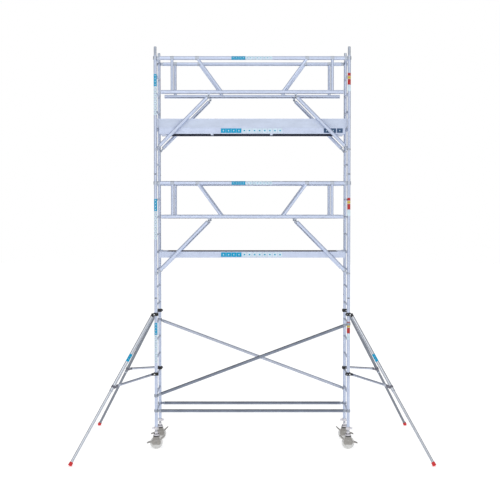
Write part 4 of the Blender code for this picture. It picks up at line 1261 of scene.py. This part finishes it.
def plywood():
    """Brown phenolic film with the fine raised mesh that gives a deck its grip, scuffed by boots."""
    look = Wiring("phenolic_plywood")
    dark, light, dust = (0.036, 0.019, 0.012), (0.066, 0.036, 0.023), (0.14, 0.11, 0.085)
    split = look.nodes.new("ShaderNodeSeparateXYZ")
    look.links.new(look.grain, split.inputs[0])
    mesh = []
    for axis in (0, 1):
        wave = look.maths("SINE", look.maths("MULTIPLY", split.outputs[axis], math.tau / 0.004))
        mesh.append(look.remap(wave, 0.55, 1.0))
    weave = look.maths("MAXIMUM", *mesh)
    fibres = look.noise((6.0, 120.0, 40.0), 4.0)
    scuffs = look.remap(look.noise((5.0, 16.0, 5.0), 6.0, 4.0), 0.52, 0.75)
    tone = look.mix(look.remap(fibres, 0.3, 0.7), dark, light)
    tone = look.mix(look.maths("MULTIPLY", weave, 0.35), tone, darker(dark, 0.6))
    tone = look.mix(look.maths("MULTIPLY", scuffs, 0.45), tone, dust)
    roughness = look.remap(scuffs, 0.0, 1.0, 0.42, 0.72)
    height = look.maths("ADD", weave, look.maths("MULTIPLY", fibres, 0.2))
    return look.done(tone, roughness, height, 0.0, 0.4, 0.0006, Specular_IOR_Level=0.0)


def plywood_edge():
    """Cut edge of plywood: pale and dark veneers in turn."""
    look = Wiring("plywood_edge")
    split = look.nodes.new("ShaderNodeSeparateXYZ")
    look.links.new(look.grain, split.inputs[0])
    wave = look.maths("SINE", look.maths("MULTIPLY", split.outputs[2], math.tau / 0.0028))
    fibres = look.noise((30.0, 30.0, 420.0), 4.0)
    veneers = look.remap(look.maths("ADD", wave, look.maths("MULTIPLY", fibres, 0.8)), -0.4, 1.2)
    tone = look.mix(veneers, (0.11, 0.060, 0.034), (0.30, 0.19, 0.11))
    tone = look.mix(look.remap(look.noise(22.0, 3.0, 5.0), 0.5, 0.7), tone, (0.07, 0.042, 0.028))
    return look.done(tone, look.remap(fibres, 0.3, 0.7, 0.6, 0.85), veneers, 0.0, 0.4, 0.0004)


def toe_board_film():
    """Smooth grey-blue board face with light scuffs and chipped rims."""
    look = Wiring("toe_board_film")
    base = (0.57, 0.64, 0.79)
    cloud = look.noise((4.0, 4.0, 9.0), 4.0)
    scuffs = look.remap(look.noise((9.0, 9.0, 70.0), 6.0, 2.0), 0.58, 0.78)
    fibres = look.noise((8.0, 160.0, 160.0), 3.0)
    tone = look.mix(look.remap(cloud, 0.35, 0.65), darker(base, 0.90), base)
    tone = look.mix(look.maths("MULTIPLY", scuffs, 0.4), tone, darker(base, 0.72))
    tone = look.mix(look.maths("MULTIPLY", look.worn_edges(0.0018), 0.6), tone, (0.75, 0.78, 0.84))
    return look.done(tone, look.remap(fibres, 0.3, 0.7, 0.42, 0.58), fibres, 0.0, 0.25, 0.0004)


def plastic(name, colour, rough, speckle=0.25, worn=None, pebble=600.0):
    """Moulded or powder-coated surface: a fine pebble, cloudy dust and maybe rubbed rims."""
    look = Wiring(name)
    pebbles = look.noise(pebble, 2.0)
    dust = look.noise(34.0, 5.0, 6.0)
    dusty = tuple(c * (1 - speckle) + 0.35 * speckle for c in colour)
    tone = look.mix(look.remap(dust, 0.42, 0.70), colour, dusty)
    if worn:
        tone = look.mix(look.worn_edges(0.0015), tone, worn)
    roughness = look.remap(dust, 0.35, 0.65, rough[0], rough[1])
    return look.done(tone, roughness, pebbles, 0.0, 0.2, 0.0005)


def film(name, colour):
    """Printed film: even ink with small scratches and a slight gloss."""
    look = Wiring(name)
    scratches = look.remap(look.noise((90.0, 700.0, 90.0), 2.0), 0.62, 0.70)
    fade = look.noise(16.0, 3.0, 8.0)
    tone = look.mix(look.remap(fade, 0.35, 0.65), darker(colour, 0.90), colour)
    tone = look.mix(look.maths("MULTIPLY", scratches, 0.2), tone, (0.62, 0.66, 0.72))
    roughness = look.remap(fade, 0.3, 0.7, 0.38, 0.52)
    return look.done(tone, roughness, scratches, 0.0, 0.1, 0.0002, Specular_IOR_Level=0.15)


def make_materials():
    blue_metal = (0.60, 0.668, 0.83)
    casting = {"rough": (0.42, 0.60), "bump": 0.5}
    return {
        "aluminium": metal("aluminium", blue_metal, (0.42, 0.56), drawn=0.08, patchy=0.08),
        "rung": metal("rung_aluminium", darker(blue_metal, 0.93), (0.36, 0.52), drawn=0.12),
        "weld": metal("weld_bead", (0.50, 0.54, 0.60), (0.30, 0.55), patchy=0.35, marks=0.8, bump=0.6),
        "cast_aluminium": metal(
            "cast_aluminium", (0.54, 0.59, 0.68), patchy=0.20, worn=(0.78, 0.82, 0.88), **casting,
        ),
        # The brace tube carries painted shade on its upper side.
        "brace_tube": metal(
            "brace_tube", (0.265, 0.30, 0.375), (0.24, 0.38), drawn=0.14, patchy=0.22, painted_top_shade=0.62,
        ),
        "brace_cast": metal(
            "brace_cast", (0.40, 0.44, 0.52), patchy=0.20, worn=(0.70, 0.74, 0.80), **casting,
        ),
        # Stay tube finish; on the rear diagonal base brace it stands for a lit brace tube, painted light.
        "stay_and_lit_brace_tube": metal("stay_and_lit_brace_tube", (0.50, 0.54, 0.64), (0.20, 0.32), drawn=0.12, patchy=0.15),
        # Lighter copy of the stabiliser tube metal: painted light.
        "painted_lit_tube": metal("painted_lit_tube", (0.53, 0.56, 0.615), (0.14, 0.24), drawn=0.08, patchy=0.06),
        # Dark inner faces of the deck beams: painted shade.
        "painted_shade_metal": metal("painted_shade_metal", (0.060, 0.068, 0.11), (0.5, 0.7), 0.6, patchy=0.2),
        # Darker copy of the stabiliser tube metal: painted shade.
        "painted_shade_tube": metal("painted_shade_tube", (0.24, 0.26, 0.30), (0.22, 0.36), drawn=0.12, patchy=0.15),
        "dark_cast": metal(
            "dark_cast", (0.22, 0.22, 0.27), metallic=0.8, patchy=0.25, worn=(0.45, 0.47, 0.50), **casting,
        ),
        "bright_bolt": metal("bright_bolt", (0.80, 0.82, 0.84), (0.16, 0.28), patchy=0.10),
        "castor_head": metal(
            "castor_head", (0.80, 0.79, 0.84), (0.34, 0.50), patchy=0.25, worn=(0.70, 0.70, 0.72),
        ),
        "zinc": metal("zinc_plate", (0.58, 0.60, 0.66), (0.26, 0.44), patchy=0.25, marks=0.6),
        "clip_steel": metal("spring_steel", (0.40, 0.42, 0.46), (0.25, 0.40), patchy=0.2),
        "castor_steel": metal(
            "castor_steel", (0.40, 0.385, 0.365), (0.38, 0.56), 0.85,
            patchy=0.25, marks=0.5, worn=(0.55, 0.54, 0.53),
        ),
        "dark_bolt": metal(
            "dark_bolt", (0.05, 0.05, 0.055), (0.34, 0.52), 0.7, patchy=0.3, worn=(0.30, 0.30, 0.31),
        ),
        "wheel_nylon": plastic("wheel_nylon", (0.70, 0.70, 0.69), (0.42, 0.60), worn=(0.84, 0.84, 0.83)),
        "black_coat": plastic(
            "black_powder_coat", (0.004, 0.004, 0.005), (0.34, 0.52), 0.02, (0.10, 0.10, 0.11), 900.0,
        ),
        "dark_hole": plastic("shaded_hole", (0.02, 0.02, 0.022), (0.6, 0.8), 0.05),
        "foot_rubber": plastic(
            "red_rubber", (0.62, 0.014, 0.018), (0.46, 0.66), 0.05, (0.66, 0.07, 0.07), 800.0,
        ),
        "plywood": plywood(),
        "plywood_edge": plywood_edge(),
        "toe_board": toe_board_film(),
        "film_blue": film("film_blue", (0.0, 0.33, 0.58)),
        "film_pale": film("film_pale", (0.62, 0.76, 0.86)),
        "film_dark": film("film_dark", (0.05, 0.10, 0.20)),
        "film_yellow": film("film_yellow", (0.62, 0.46, 0.06)),
        "film_red": film("film_red", (0.46, 0.04, 0.04)),
        "film_grey": film("film_grey", (0.30, 0.33, 0.38)),
    }


# ---------------------------------------------------------------- studio


def floor():
    """Wide flat floor that glows a little, so that it shows as white as the sky behind it."""
    mesh = bpy.data.meshes.new("floor")
    half = 60.0
    corners = [(-half, -half, 0), (half, -half, 0), (half, half, 0), (-half, half, 0)]
    mesh.from_pydata(corners, [], [(0, 1, 2, 3)])
    look = Wiring("floor_paint")
    tone = look.mix(look.noise(0.8, 2.0), (0.88, 0.88, 0.89), (0.90, 0.90, 0.90))
    rough = look.remap(look.noise(3.0), 0.0, 1.0, 0.85, 0.95)
    paint = look.done(
        tone, rough, look.noise(40.0), 0.0, 0.02, 0.0002,
        Emission_Color=(1.0, 1.0, 1.0, 1.0), Emission_Strength=0.44, Specular_IOR_Level=0.0,
    )
    mesh.materials.append(paint)
    plane = bpy.data.objects.new("floor", mesh)
    bpy.context.scene.collection.objects.link(plane)


def sky():
    """White studio: seen plain, but dimmer to both sides and behind for what the tubes reflect."""
    world = bpy.data.worlds.new("studio")
    world.use_nodes = True
    bpy.context.scene.world = world
    nodes, links = world.node_tree.nodes, world.node_tree.links
    background = nodes["Background"]
    direction = nodes.new("ShaderNodeTexCoord").outputs["Generated"]
    split = nodes.new("ShaderNodeSeparateXYZ")
    links.new(direction, split.inputs[0])
    sideways = nodes.new("ShaderNodeMath")
    sideways.operation = "ABSOLUTE"
    links.new(split.outputs[0], sideways.inputs[0])
    dims = []
    to_sides = (sideways.outputs[0], (0.15, 0.95, 0.94, 0.42))
    behind = (split.outputs[1], (0.35, 0.95, 1.0, 0.45))
    for source, limits in (to_sides, behind):
        ramp = nodes.new("ShaderNodeMapRange")
        for key, value in zip(("From Min", "From Max", "To Min", "To Max"), limits):
            ramp.inputs[key].default_value = value
        links.new(source, ramp.inputs["Value"])
        dims.append(ramp.outputs[0])
    dim = nodes.new("ShaderNodeMath")
    dim.operation = "MULTIPLY"
    links.new(dims[0], dim.inputs[0])
    links.new(dims[1], dim.inputs[1])
    path = nodes.new("ShaderNodeLightPath")
    plain = nodes.new("ShaderNodeMix")
    plain.inputs["B"].default_value = 1.0
    links.new(path.outputs["Is Camera Ray"], plain.inputs["Factor"])
    links.new(dim.outputs[0], plain.inputs["A"])
    links.new(plain.outputs[0], background.inputs["Strength"])
    background.inputs["Color"].default_value = (1.0, 1.0, 1.0, 1.0)


def lamp(name, place, aim, size, power):
    light = bpy.data.lights.new(name, "AREA")
    light.shape, light.size, light.size_y, light.energy = "RECTANGLE", size[0], size[1], power
    lamp_object = bpy.data.objects.new(name, light)
    bpy.context.scene.collection.objects.link(lamp_object)
    lamp_object.location = place
    lamp_object.rotation_euler = (Vector(aim) - Vector(place)).to_track_quat("-Z", "Y").to_euler()


def camera():
    lens = bpy.data.cameras.new("camera")
    lens.lens, lens.sensor_width, lens.shift_x = 77.0, 36.0, -0.0044
    lens.clip_end = 200.0
    eye = bpy.data.objects.new("camera", lens)
    bpy.context.scene.collection.objects.link(eye)
    eye.location = (0.0, -17.25, 3.77)
    eye.rotation_euler = (math.radians(90 - 2.045), 0, 0)
    bpy.context.scene.camera = eye
    bpy.context.scene.view_settings.view_transform = "Standard"


# ---------------------------------------------------------------- assembly


def tower():
    for number, level in enumerate(("base", "middle", "top")):
        for side, _ in SIDES:
            ladder_frame(side, level, number)
    for name in DECKS:
        deck(name)
        deck_board(name)
        hatch(name)
        for face, _ in FACES:
            guardrail(f"{name}_{face}_guardrail", name, face)
            for side_name, side in SIDES:
                strut(name, face, side_name, side)
    for name in ("front", "rear", "left", "right"):
        toe_board(name)
    for face, _ in FACES:
        for kind in ("horizontal", "diagonal"):
            base_brace(f"{face}_{kind}_brace", face)
    for corner, _, side in CORNERS:
        spindle(corner)
        castor_fork(corner)
        castor_wheel(corner)
        castor_brake(corner, side)
        stabiliser(corner)
    labels()


MATERIALS = make_materials()
tower()
floor()
sky()
camera()
lamp("key", (-4.0, -12.0, 11.0), (0, 0, 3.2), (7.0, 7.0), 220.0)
lamp("fill", (7.0, -10.0, 6.0), (0, 0, 3.0), (6.0, 8.0), 90.0)
lamp("rim", (3.0, 10.0, 10.0), (0, 0, 3.2), (8.0, 6.0), 100.0)
